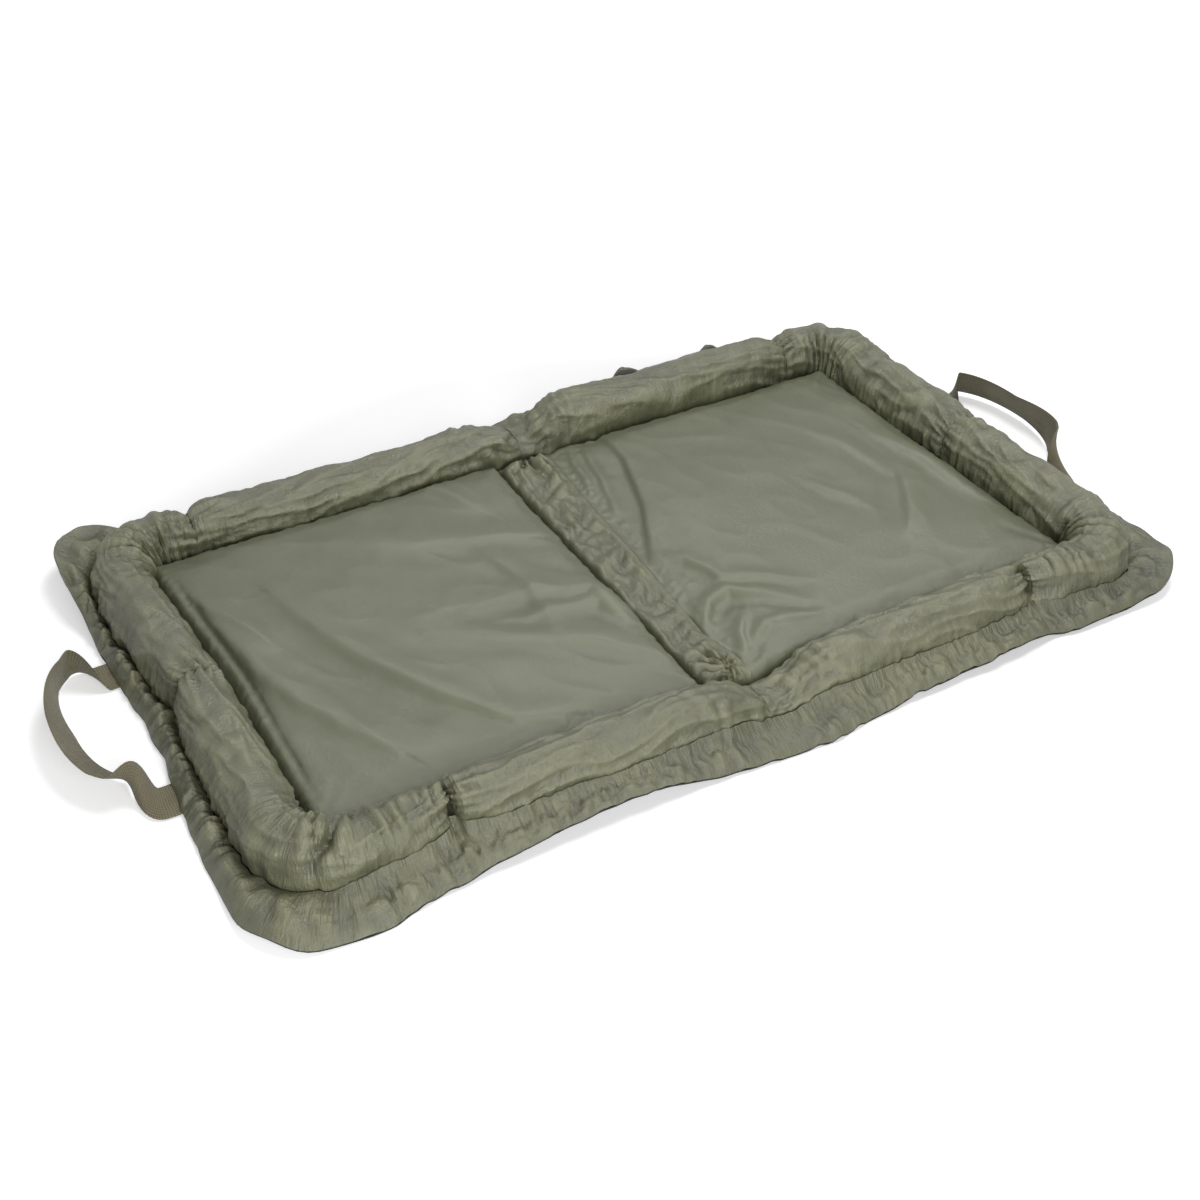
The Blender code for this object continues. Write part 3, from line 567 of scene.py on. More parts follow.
def rim_folds(points, distance, share, side):
    """Height of the smaller folds that stand on a stretch of the rim, and how tightly its cloth is gathered."""
    seed = 40 if side < 0 else 60
    girth = RIM_GIRTH * share
    station = rim_station(distance)
    gathered = curve(station, GATHERS[side])
    lumpy = curve(station, LUMPS[side])
    foot = ease(1 - share / 0.40) + ease(1 - (1 - share) / 0.42)
    corner = near_corner(distance)
    to_pinch = sum(bell(distance - pinch, 0.030) for pinch in PINCH_LOSS)
    loose = 1 - ease((to_fold(distance) + 0.010) / 0.090)
    warp = 0.006 * soft_noise(distance / 0.04, girth / 0.05, seed)

    pucker = folded(PUCKERS, distance + warp, girth, seed + 1) * foot * gathered
    slant = folded(SLANT_FOLDS, distance + girth * 0.6, girth - distance * 0.16 + warp, seed + 3, ridges)
    fine = folded(FINE_FOLDS, distance + 2 * warp, girth + warp, seed + 9) * foot
    gathers = folded(CORNER_GATHERS, distance + warp, girth, seed + 5, shift=3)
    gathers = gathers * corner * gathered * (0.4 + ease(1.15 - share / 0.7))
    lumps = folded(STUFFING_LUMPS, distance + girth * 0.5, girth - distance * 0.4, seed + 7) * lumpy
    rays = folded(PINCH_RAYS, girth, distance, seed + 6) * to_pinch
    drawn = folded(DRAWN_PLEATS, distance + 0.5 * warp, girth, seed + 10, shift=5)
    drawn = drawn * bell(station - 0.97, 0.22) * bell(girth - PLEAT_GIRTH, 0.030)
    folds = FOLD_LIMIT * np.tanh((pucker + slant + fine + gathers + lumps + rays + drawn) / FOLD_LIMIT)

    bent = points[..., 0] + 0.012 * soft_noise(points[..., 0] / 0.05, girth / 0.04, 71)
    crumple = folded(SLACK_CRUMPLES[0], bent, girth, 70) * loose
    crumple = crumple + folded(SLACK_CRUMPLES[1], points[..., 0], girth, 72) * loose
    if side < 0:
        turned = distance - TUCK_PLACE[0] - 0.30 * (girth - 0.095)
        tuck = TUCK_SWELL * bell(turned + 0.009, 0.006) - TUCK_DEPTH * bell(turned, 0.0036)
        crumple = crumple + tuck * bell(girth - TUCK_PLACE[1], 0.026)
    at_front = ease((0.95 - station) / 0.06) * ease(to_fold(distance) / 0.03)
    welt = 0.0010 * bell(girth - WELT_GIRTH, 0.0035) - 0.0024 * bell(girth - WELT_GROOVE_GIRTH, 0.0030)
    slit = -PINCH_SLIT * bell(distance - FRONT_PINCH, PINCH_SLIT_REACH) * ease((share - 0.28) / 0.20)
    held = np.sqrt(np.clip(share * (1 - share) * 12, 0, 1))
    tight = np.clip(foot * 0.55 * gathered + corner * 0.7 + to_pinch * 0.9 + lumpy * 0.3, 0.12, 1)
    return (folds * settle(distance) + crumple + welt * at_front + slit) * held, tight


def make_bolster(word, side, place, start, end, nodes, material):
    """One stuffed stretch of the rim, and the line along its outer side where the skirt is sewn on."""
    columns = round((end - start) / BOLSTER_STEP)
    distances = np.linspace(start, end, columns + 1)
    points, distance, share = rim_table(distances, np.linspace(0, 1, BOLSTER_ROWS + 1), side)
    steps = np.linalg.norm(np.diff(points, axis=0), axis=2)
    crest = np.quantile(steps, 0.80, axis=1) * CREST_SLACK
    girth = run_lengths(points.swapaxes(0, 1)) * GIRTH_SLACK
    cut = (np.concatenate(([0], np.cumsum(crest))), girth)
    blown = blow_up(points, cut, RIM_PRESSURE, RIM_BENDING, 7 + round(start * 100) + side)
    fine = refine_both(blown, 2)
    fine_distance = refine(distance[:, :1], 2)[:, 0]
    shares = np.linspace(0, 1, fine.shape[1])
    distance, share = np.meshgrid(fine_distance, shares, indexing="ij")
    height, tight = rim_folds(fine, distance, share, side)
    fine = push_out(fine, height)
    fine[..., 2] = np.maximum(fine[..., 2], SEAT_HEIGHT)
    plain = refine_both(points, 2)
    stand = height + ((fine - plain) * table_normals(plain)).sum(axis=2) * 0.5
    outer = fine[:, fine.shape[1] // 2:][:, ::-1]
    seam_height = skirt_seam_height(fine_distance, side, outer[..., 2].max(axis=1))
    seam = [[np.interp(level, np.maximum.accumulate(line[:, 2]), line[:, axis]) for axis in (0, 1)]
            for level, line in zip(seam_height, outer)]
    tight = close_under(fine, tight, SEAT_HEIGHT)[1]
    body, stand = close_under(fine, stand, SEAT_HEIGHT)
    piece = cloth_piece(f"{word}_{place}_bolster", body, stand, tight)
    finish_piece(piece, material)
    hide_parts(*nodes)
    return piece, np.column_stack((fine_distance, seam, seam_height))


def make_rim(word, side, material):
    """The four stuffed stretches, and the whole line where the skirt is sewn on."""
    stretches = (
        ("front", -PAST_FOLD, FRONT_PINCH - HALF_PINCH_GAP, "fold_front_slack_sleeve"),
        ("front_corner", FRONT_PINCH + HALF_PINCH_GAP, END_PINCH - HALF_PINCH_GAP, None),
        ("back_corner", END_PINCH + HALF_PINCH_GAP, BACK_PINCH - HALF_PINCH_GAP, None),
        ("back", BACK_PINCH + HALF_PINCH_GAP, RIM_LENGTH + PAST_FOLD, "fold_back_slack_sleeve"),
    )
    seam = []
    for place, start, end, slack in stretches:
        nodes = [f"{word}_{place}_sleeve", f"{word}_{place}_roll"]
        piece, line = make_bolster(word, side, place, start, end, nodes + [slack] * bool(slack), material)
        seam.append(line)
        if slack:
            bend_at_fold(piece, side)
        else:
            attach(piece, f"{word}_half")
    return np.concatenate(seam)


# ---- Floor ----

# Folds of the floor cloth in plan: points along the crest, its height, and how far it reaches on its steep side
# and on its slow side
LEFT_FOLDS = (
    (((-0.337, 0.088), (-0.310, -0.018), (-0.268, -0.104), (-0.212, -0.181), (-0.174, -0.193)), 0.0075, 0.012, 0.034),
    (((-0.401, 0.101), (-0.383, -0.037), (-0.350, -0.118), (-0.317, -0.172)), 0.0070, 0.012, 0.030),
    (((-0.405, 0.124), (-0.363, 0.017)), 0.0040, 0.010, 0.022),
    (((-0.175, -0.016), (-0.117, -0.023), (-0.063, -0.046), (-0.042, -0.102)), 0.0050, 0.011, 0.028),
    (((-0.128, 0.067), (-0.115, 0.002), (-0.118, -0.087)), 0.0032, 0.011, 0.026),
    (((-0.131, 0.209), (-0.096, 0.132)), 0.0036, 0.010, 0.020),
    (((-0.144, -0.055), (-0.064, -0.068), (-0.043, -0.129)), 0.0038, 0.009, 0.022),
    (((-0.230, -0.030), (-0.170, -0.075), (-0.090, -0.125), (-0.050, -0.170)), 0.0034, 0.010, 0.024),
    (((-0.260, 0.150), (-0.180, 0.100), (-0.100, 0.075), (-0.045, 0.060)), 0.0034, 0.012, 0.030),
)
RIGHT_FOLDS = (
    (((0.024, -0.022), (0.050, -0.044), (0.060, -0.089), (0.124, -0.136)), 0.0042, 0.007, 0.016),
    (((-0.005, -0.168), (0.013, -0.134), (0.032, -0.116), (0.055, -0.111), (0.108, -0.164)), 0.0062, 0.007, 0.018),
    (((0.342, -0.016), (0.307, -0.073), (0.268, -0.127)), 0.0060, 0.010, 0.026),
    (((0.356, 0.062), (0.371, -0.018), (0.379, -0.105)), 0.0042, 0.010, 0.024),
    (((0.230, 0.008), (0.244, -0.024), (0.256, -0.058)), 0.0032, 0.007, 0.016),
    (((0.300, 0.090), (0.318, 0.030), (0.322, -0.020)), 0.0028, 0.010, 0.022),
    (((0.060, 0.190), (0.050, 0.130), (0.034, 0.070)), 0.0030, 0.005, 0.010),
    (((0.045, 0.200), (0.036, 0.150), (0.026, 0.110)), 0.0026, 0.004, 0.009),
    (((0.024, -0.190), (0.060, -0.176), (0.110, -0.186)), 0.0040, 0.006, 0.014),
    (((0.022, -0.196), (0.032, -0.170), (0.050, -0.150)), 0.0036, 0.005, 0.010),
)
# Strength of the drawn folds, and the heights of the puckers, swells and faint ridges of a floor
DRAG_STRENGTH = 1.15
FLOOR_PUCKER = 0.0013
FLOOR_SWELL = 0.0016
FLOOR_RIDGE = 0.0010
# Share of its height that the cloth keeps where the strip runs softly into the right floor
FOOT_SHARE = STRIP_HEIGHT / FLOOR_HEIGHT
# The floor of the right half is lower on the fold side of this line, by this much
RIGHT_STEP = ((0.094, 0.207), (0.090, 0.148), (0.065, 0.063), (0.021, -0.030))
RIGHT_STEP_DEPTH = 0.0070
# Soft line where the right floor meets the fold strip: y and x
RIGHT_FOOT_LINE = ((-0.209, 0.015), (-0.188, 0.015), (-0.146, 0.006), (-0.059, 0.012), (0.078, 0.018), (0.209, 0.027))


def drag_fold(x, y, points, height, steep, slow):
    """A soft fold: steep on the side towards the lower left, and falling slowly on the other."""
    off, share = line_distance(x, y, points)
    off = off + 0.003 * soft_noise(x / 0.04, y / 0.04, 90)
    crest = np.sin(math.pi * np.clip(0.06 + 0.88 * share, 0, 1)) ** 0.7
    side = np.where(off < 0, bell(off, 0.6 * steep) - 0.2 * bell(off + 2 * steep, steep), bell(off, 0.75 * slow))
    return DRAG_STRENGTH * height * crest * side


def fan_step(x, y):
    """How much lower the right floor is on the fold side of RIGHT_STEP."""
    off, share = line_distance(x, y, RIGHT_STEP)
    near = bell(np.minimum(off, 0), 0.045) * np.sin(math.pi * np.clip(0.10 + 0.86 * share, 0, 1)) ** 0.6
    return -RIGHT_STEP_DEPTH * near * (1 - ease(off / 0.008 + 1))


def foot_x(y, side):
    """Where a floor cushion begins beside the fold strip."""
    if side < 0:
        return np.full_like(y, FOLD_LINE_X + 0.0004)
    ys, xs = zip(*RIGHT_FOOT_LINE)
    return np.interp(y, ys, xs)


# How the end of each cushion is rounded, its crown, how much longer its cloth is cut, and its simulation
FLOOR_END_RADIUS = {-1: 0.006, 1: 0.012}
FLOOR_CROWN = 0.0030
FLOOR_SLACK = 1.010
FLOOR_PRESSURE = 1.0
FLOOR_BENDING = 0.3
FLOOR_COLUMNS = {-1: 78, 1: 80}
FLOOR_ROWS = 84
# A crease runs along the end border of the left cushion, this far inside it
BORDER_CREASE_INSET = 0.015
BORDER_CREASE_DEPTH = 0.0022


def make_floor(word, side, folds, material):
    """The padded floor of a half."""
    along, across = share_table(FLOOR_COLUMNS[side], FLOOR_ROWS)
    y = (2 * across - 1) * FLOOR_HALF_WIDTH
    start = foot_x(y, side)
    far_x = FLOOR_END_X[side]
    x = start + along * (far_x - start)
    into_x = np.maximum(x - (far_x - FLOOR_CORNER_RADIUS), 0)
    into_y = np.maximum(np.abs(y) - (FLOOR_HALF_WIDTH - FLOOR_CORNER_RADIUS), 0)
    pull = np.maximum(into_x, into_y) / np.maximum(np.hypot(into_x, into_y), 1e-9)
    pull = np.where((into_x > 0) & (into_y > 0), pull, 1)
    x = x - into_x * (1 - pull)
    y = y - np.sign(y) * into_y * (1 - pull)
    to_foot = x - foot_x(y, side)
    beside_strip = quarter_round(to_foot, 0.005)
    if side > 0:
        beside_strip = FOOT_SHARE + (1 - FOOT_SHARE) * ease(to_foot / 0.018)
    at_end = quarter_round(far_x - x, FLOOR_END_RADIUS[side])
    inside = at_end * quarter_round(FLOOR_HALF_WIDTH - np.abs(y), BORDER_RADIUS) * beside_strip
    crown = FLOOR_CROWN * np.sin(math.pi * along) * np.sin(math.pi * across)
    height = BORDER_HEIGHT + FLOOR_HEIGHT * inside + crown
    points = np.stack((side * pulled_x(x, y, side), y, height), 2)
    cut = (run_lengths(points) * FLOOR_SLACK, run_lengths(points.swapaxes(0, 1)) * FLOOR_SLACK)
    blown = blow_up(points, cut, FLOOR_PRESSURE, FLOOR_BENDING, 92 + side)
    fine = refine_both(blown, 2)
    plan_x, plan_y = fine[..., 0], fine[..., 1]
    edge = np.minimum(pulled_x(far_x, plan_y, side) - side * plan_x, FLOOR_HALF_WIDTH - np.abs(plan_y))
    edge = np.minimum(edge, side * plan_x - foot_x(plan_y, side))
    inner = quarter_round(edge, 0.016)
    drags = sum(drag_fold(plan_x, plan_y, *fold) for fold in folds)
    if side > 0:
        drags = drags + fan_step(plan_x, plan_y)
    else:
        to_end = pulled_x(far_x, plan_y, side) - side * plan_x
        crease = BORDER_CREASE_DEPTH * bell(to_end - BORDER_CREASE_INSET, 0.0028)
        drags = drags - crease * ease((0.19 - np.abs(plan_y)) / 0.05)
    near_edge = ease(1 - edge / 0.030) * ease(edge / 0.003)
    pucker = creases(plan_x / 0.012, plan_y / 0.012, 95) * FLOOR_PUCKER * near_edge
    swell = soft_noise(plan_x / 0.090, plan_y / 0.075, 96) * FLOOR_SWELL * ease(edge / 0.02)
    faint = ridges(plan_x / 0.055 + plan_y / 0.11, plan_y / 0.120 - plan_x / 0.20, 97) * FLOOR_RIDGE
    small = pucker + swell + faint * ease(edge / 0.03) + drags * inner
    fine = push_out(fine, small)
    body, stand = close_floor(fine, small)
    piece = cloth_piece(f"{word}_floor_cushion", body, stand)
    finish_piece(piece, material)
    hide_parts(f"{word}_floor_cover", f"{word}_floor_pad")
    bend_at_fold(piece, side)


# ---- Fold strip ----

# Where the cover is drawn together at the front and at the back, how far round that, and how deep its rays are
KNOTS = ((-0.004, -0.203), (0.005, 0.224))
KNOT_RADIUS = 0.020
KNOT_HEIGHT = 0.0085
# Folds along and across the cover: their spacing in two directions, and their height
STRIP_LONG_FOLDS = (0.018, 0.085, 0.0036)
STRIP_CROSS_FOLDS = (0.045, 0.024, 0.0026)
# No hollow of the cover is deeper than this
STRIP_HOLLOW = 0.0080
# Gaps to the left floor, to the right floor, and to the middle between the two covers
LEFT_FLOOR_GAP = 0.0002
RIGHT_FLOOR_GAP = 0.0003
HALF_SPLIT_GAP = 0.0001
STRIP_COLUMNS = {-1: 16, 1: 24}
STRIP_ROWS = 220


def make_strip(word, side, material):
    """Half of the crumpled cover over the fold strip."""
    along, across = share_table(STRIP_COLUMNS[side], STRIP_ROWS)
    y = (2 * across - 1) * FLOOR_HALF_WIDTH
    if side < 0:
        low, high = -FOLD_LINE_X + LEFT_FLOOR_GAP, SPLIT_X - HALF_SPLIT_GAP
    else:
        low, high = SPLIT_X + HALF_SPLIT_GAP, foot_x(y, side) - RIGHT_FLOOR_GAP
    x = low + along * (high - low)
    inside = quarter_round(x - low, 0.006) if side < 0 else 1
    inside = inside * quarter_round(FLOOR_HALF_WIDTH - np.abs(y), BORDER_RADIUS)
    held = 1 if side < 0 else ease((high - x) / 0.012)
    warp = 0.010 * soft_noise(x / 0.03, y / 0.03, 85)
    crumple = folded(STRIP_LONG_FOLDS, x + warp, y + 2 * warp, 81)
    crumple = crumple + folded(STRIP_CROSS_FOLDS, x * 0.9 + y * 0.5, y - x * 0.7, 82)
    knots = np.zeros_like(x)
    for knot_x, knot_y in KNOTS:
        off = np.hypot(x - knot_x, y - knot_y)
        turn = np.arctan2(y - knot_y, x - knot_x)
        rays = np.abs(np.sin(turn * 5.5 + 2 * soft_noise(off / 0.02, turn, 83)))
        knots += (rays - 0.4) * KNOT_HEIGHT * bell(off - KNOT_RADIUS, 0.026)
    height = BORDER_HEIGHT + inside * (STRIP_HEIGHT + held * np.maximum(crumple + knots, -STRIP_HOLLOW))
    points = np.stack((x, y, height), 2)
    body, stand = close_floor(points, crumple + knots)
    piece = cloth_piece(f"{word}_strip_cover", body, stand)
    finish_piece(piece, material)
    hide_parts("fold_strip_cover", "fold_strip_pad")
    bend_at_fold(piece, side)


# ---- Skirt and base ----

# Hem of the skirt: distance along the rim, how far it lies outside its plain line, and how high it is lifted
HEM = {
    -1: ((-0.035, 0.006, 0), (0, 0.003, 0.001), (0.046, -0.001, 0.004), (0.092, -0.004, 0.013), (0.138, -0.005, 0.0150),
         (0.185, -0.004, 0.013), (0.242, -0.002, 0.008), (0.288, 0.000, 0.002), (0.335, 0.007, 0), (0.364, 0.013, 0),
         (0.380, 0.009, 0.003), (0.394, 0, 0.010), (0.407, -0.001, 0.005), (0.424, 0, 0), (0.618, -0.007, 0),
         (0.720, 0, 0), (0.780, 0.003, 0.005), (0.820, 0.005, 0.022), (0.848, 0.009, 0.036), (0.868, 0.005, 0.034),
         (0.888, -0.002, 0.014), (0.938, 0, 0.008), (1.076, 0, 0.004), (1.192, 0, 0.010), (1.255, 0.003, 0.020),
         (1.290, 0.002, 0.014)),
    1: ((-0.035, 0.006, 0), (0, 0.008, 0), (0.058, 0.001, 0), (0.115, -0.002, 0.005), (0.185, -0.003, 0.008),
        (0.242, -0.005, 0.011), (0.270, -0.008, 0.007), (0.290, -0.006, 0.002), (0.320, -0.002, 0.004),
        (0.345, -0.004, 0.005), (0.370, -0.002, 0.005), (0.388, -0.004, 0.014), (0.400, -0.003, 0.022),
        (0.412, -0.002, 0.020), (0.432, 0.002, 0.016), (0.490, 0, 0.004),
        (0.720, 0, 0), (0.822, 0, 0.004), (0.861, 0.003, 0.010), (0.910, 0.002, 0.014), (0.955, 0.002, 0.016),
        (0.989, 0.004, 0.041), (1.024, 0.002, 0.020), (1.062, 0, 0.014), (1.109, 0.003, 0.042), (1.146, 0.002, 0.016),
        (1.192, 0, 0.010), (1.255, 0.003, 0.020), (1.290, 0.002, 0.014)),
}
# Height of the seam between rim and skirt, and how far the skirt puffs up: place along the edge, height and puff
SKIRT_SHAPE = {
    -1: ((0, 0.029, 0.000), (0.8, 0.029, 0.000), (1.1, 0.024, 0.001), (1.6, 0.014, 0.005), (2.0, 0.009, 0.011),
         (3.0, 0.009, 0.011), (3.5, 0.012, 0.008), (4.2, 0.015, 0.003), (5, 0.015, 0.002)),
    1: ((0, 0.026, 0.000), (1.0, 0.026, 0.001), (1.6, 0.015, 0.004), (2.0, 0.011, 0.006), (3.0, 0.011, 0.006),
        (4.0, 0.015, 0.003), (5, 0.015, 0.002)),
}
SKIRT_COLUMNS = 700
SKIRT_ROWS = 23
BASE_COLUMNS = 420
# How far the rows of the base cloth lie inside the hem. The last row follows the middle of the mat, up to this x.
BASE_ROWS = (0, 0.0006, 0.0022, 0.005, 0.009, 0.014, 0.019, 0.024, 0.028, 0.032, 0.045, 0.07, 0.10, 0.14, 0.19, 0.25)
BASE_MIDDLE_X = 0.250
# The base cloth ends this far inside the hem, and comes down from its lift over this distance
BASE_INSET = 0.0005
BASE_LIFT_REACH = 0.030
# Level of the base cloth, how far the skirt lies over it, and how much more where the webbing lies between them
BASE_LEVEL = 0.0010
SKIRT_OVER_BASE = 0.0013
WEBBING_ROOM = 0.0022
# How far the skirt's inner edge stays outside the seam
SEAM_ROOM = 0.0014
# Heights of the ruffles of the hem, its wander in plan, and the folds of the skirt
RUFFLE_HEIGHT = 0.0030
HEM_WANDER = 0.0022
SEAM_WANDER = 0.0022
PLEAT_HEIGHT = 0.0036
FLUTTER_HEIGHT = 0.0024
SMALL_FOLD_HEIGHT = 0.0012
HEM_BAND_HEIGHT = 0.0006
# How far the webbing's roots lie from the middle of an end
ROOT_Y = 0.095
# Share by which the sheets are longer and wider, when laid flat, than where they lie
SKIRT_WIDTH_SLACK = 1.10


def rim_station(distance):
    """Place along the edge: 0 and 5 at the fold, 1 to 2 and 3 to 4 round the corners."""
    marks = (0, FRONT_RUN, FRONT_RUN + CORNER_RUN, FRONT_RUN + CORNER_RUN + END_RUN, RIM_LENGTH - FRONT_RUN, RIM_LENGTH)
    return np.interp(distance, marks, range(6))


def skirt_seam_height(distance, side, rim_top):
    shape = [mark[:2] for mark in SKIRT_SHAPE[side]]
    wave = SEAM_WANDER * soft_noise(distance / 0.010, 0 * distance + 4, 31 + side)
    wave = wave * settle(distance)
    return np.minimum(curve(rim_station(distance), shape) + wave, 0.55 * rim_top)


def hem_points(distance, side):
    """Plan place and lift of the hem, and how far the webbing lies under it, 0 to 1."""
    x, y, out_x, out_y = hem_line(distance)
    wander = curve(distance, [mark[:2] for mark in HEM[side]])
    lift = np.maximum(curve(distance, [mark[::2] for mark in HEM[side]]), 0)
    off_tabs = ease((np.abs(np.abs(y) - ROOT_Y) - 0.024) / 0.020)
    at_end = ease((out_x - 0.6) / 0.3)
    held = 1 - at_end * (1 - off_tabs)
    settled = settle(distance)
    ruffle = RUFFLE_HEIGHT * creases(distance / 0.024, 0 * distance, 33 + side).clip(0) * settled
    wander = wander + HEM_WANDER * soft_noise(distance / 0.030, 0 * distance + 2, 35 + side) * settled
    return x + out_x * wander, y + out_y * wander, (lift + ruffle) * held, at_end * (1 - off_tabs)


def make_skirt(word, side, seam, material):
    """Border of cloth between the rim and the hem."""
    distances = np.linspace(-PAST_FOLD, RIM_LENGTH + PAST_FOLD, SKIRT_COLUMNS + 1)
    distance, across = np.meshgrid(distances, np.linspace(0, 1, SKIRT_ROWS + 1), indexing="ij")
    _, _, out_x, out_y = rim_line(distance)
    inner_x = side * np.interp(distance, seam[:, 0], seam[:, 1]) + out_x * SEAM_ROOM
    inner_y = np.interp(distance, seam[:, 0], seam[:, 2]) + out_y * SEAM_ROOM
    inner_z = np.interp(distance, seam[:, 0], seam[:, 3])
    hem_x, hem_y, lift, cover = hem_points(distance, side)
    hem_z = BASE_LEVEL + SKIRT_OVER_BASE + lift + WEBBING_ROOM * cover
    settled = settle(distance, 0.040)
    seed = 100 + side
    strength = curve(rim_station(distance), GATHERS[side])
    puff = curve(rim_station(distance), [mark[::2] for mark in SKIRT_SHAPE[side]]) * (0.4 + 0.6 * settled)
    puff = puff * (1 + 0.35 * settled * soft_noise(distance / 0.035, 0 * distance, seed + 8))
    span = np.hypot(hem_x - inner_x, hem_y - inner_y)
    middle = np.sin(math.pi * np.clip(across, 0, 1) ** 0.85)
    warp = 0.004 * soft_noise(distance / 0.03, across * 1.3, seed)
    pleats = creases((distance + warp) / 0.0105, across * 0.8 + 7, seed + 3) * PLEAT_HEIGHT * strength
    pleats = pleats * (0.25 + 0.75 * middle) * np.clip(across * 8, 0, 1)
    flutter = soft_noise(distance / 0.022, across * 0.9, seed + 1) * FLUTTER_HEIGHT
    flutter = flutter * (0.3 + 0.7 * settled) * middle
    slant = creases((distance + across * span * 0.8) / 0.026, across * 1.6, seed + 6) * SMALL_FOLD_HEIGHT * middle
    fine = creases((distance + 2 * warp) / 0.0120, across * 2.6, seed + 11) * SMALL_FOLD_HEIGHT
    fine = fine * np.clip(across * 5, 0, 1)
    folds = (pleats + flutter + slant + fine) * settled
    hem_band = HEM_BAND_HEIGHT * ease((across - 0.76) / 0.03) * (1 - ease((across - 0.97) / 0.03))
    fall = across + 0.12 * np.sin(2 * math.pi * across)
    height = inner_z + (hem_z - inner_z) * fall + puff * middle + folds + hem_band
    low = BASE_LEVEL + SKIRT_OVER_BASE + lift * ease(across * 1.6 - 0.6)
    height = np.maximum(height, low + WEBBING_ROOM * cover)
    plan_x = inner_x + (hem_x - inner_x) * across
    plan_y = inner_y + (hem_y - inner_y) * across
    points = np.stack((side * plan_x, plan_y, height), 2)
    tight = np.clip(0.35 + 0.65 * strength * (1 - across), 0, 1)
    piece = cloth_piece(f"{word}_skirt_cloth", points, folds * 1.1, tight)
    finish_piece(piece, material, closed=False, joined=False)
    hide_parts(f"{word}_skirt", "fold_front_skirt", "fold_back_skirt")
    width = run_lengths(points.swapaxes(0, 1))[-1] * SKIRT_WIDTH_SLACK
    bend_at_fold(piece, side)


def make_base(word, side, material):
    """The base cloth under a half and its side of the fold strip. Its border follows the hem."""
    distances = np.linspace(-PAST_FOLD, RIM_LENGTH + PAST_FOLD, BASE_COLUMNS + 1)
    distance, inward = np.meshgrid(distances, BASE_ROWS, indexing="ij")
    x, y, lift, _ = hem_points(distance, side)
    centre_x = np.minimum(x, BASE_MIDDLE_X)
    reach = np.hypot(x - centre_x, y)
    share = np.minimum(BASE_INSET + inward, reach) / reach
    share = np.where(inward == BASE_ROWS[-1], 1, share)
    height = BASE_LEVEL + lift * (1 - ease(inward / BASE_LIFT_REACH))
    points = np.stack((side * (x + (centre_x - x) * share), y * (1 - share), height), 2)
    piece = cloth_piece(f"{word}_base_cloth", points)
    finish_piece(piece, material, closed=False)
    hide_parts(f"{word}_base_sheet", "fold_base_sheet")
    bend_at_fold(piece, side)


# ---- Handles ----

WEBBING_WIDTH = 0.040
WEBBING_THICKNESS = 0.0016
# The rounding of the webbing's edges
WEBBING_EDGE = 0.0005
HANDLE_SPAN = 2 * ROOT_Y
# Furthest x of each loop, how high it arches, how far it leans back, and how steeply its webbing stands, in degrees,
# at its front, tip and back
HANDLE_LOOPS = {-1: (0.573, 0.004, 0.020, (138, 118, 76)), 1: (0.567, 0.005, 0.030, (95, 62, 62))}
# How round the loop is in plan: 1 is an arc, and less is squarer
HANDLE_SQUARENESS = 0.86
HANDLE_START_X = 0.5016
HANDLE_HEIGHT = 0.0021
TAB_INNER_X = 0.471
# The webbing bends from its tabs into its loop between these places
LOOP_STEPS = 96
TAB_STEPS = 10


def handle_frame(share, end_x, arch, lean, lay):
    """Middle of the webbing, the direction across it and the direction through it, at shares of the loop."""
    tip_room = WEBBING_WIDTH / 2 * abs(math.cos(math.radians(lay[1])))
    line_reach = end_x - tip_room - WEBBING_THICKNESS / 2 - HANDLE_START_X

    def middle(at):
        angle = math.pi * (at - 0.5)
        out = np.abs(np.cos(angle)) ** HANDLE_SQUARENESS
        across = np.sign(angle) * np.abs(np.sin(angle)) ** HANDLE_SQUARENESS
        return np.stack((HANDLE_START_X + line_reach * out, HANDLE_SPAN / 2 * across, 0 * at), 1)

    near = np.minimum(share, 1 - share) * 2
    tangent = middle(np.minimum(1, share + 0.001)) - middle(np.maximum(0, share - 0.001))
    tangent /= np.linalg.norm(tangent, axis=1)[:, None]
    inward = np.stack((-tangent[:, 1], tangent[:, 0], 0 * share), 1)
    turned = ease((near - 0.05) / 0.32)
    tilt = np.radians(np.interp(share, (0.25, 0.5, 0.75), lay)) * turned
    across = inward * np.cos(tilt)[:, None] + np.array((0, 0, 1)) * np.sin(tilt)[:, None]
    through = np.cross(tangent, across)
    centre = middle(share)
    centre[:, 2] = HANDLE_HEIGHT + (arch - 0.001) * turned + WEBBING_WIDTH / 2 * np.sin(tilt)
    centre[:, 1] += lean * turned
    return centre, across, through


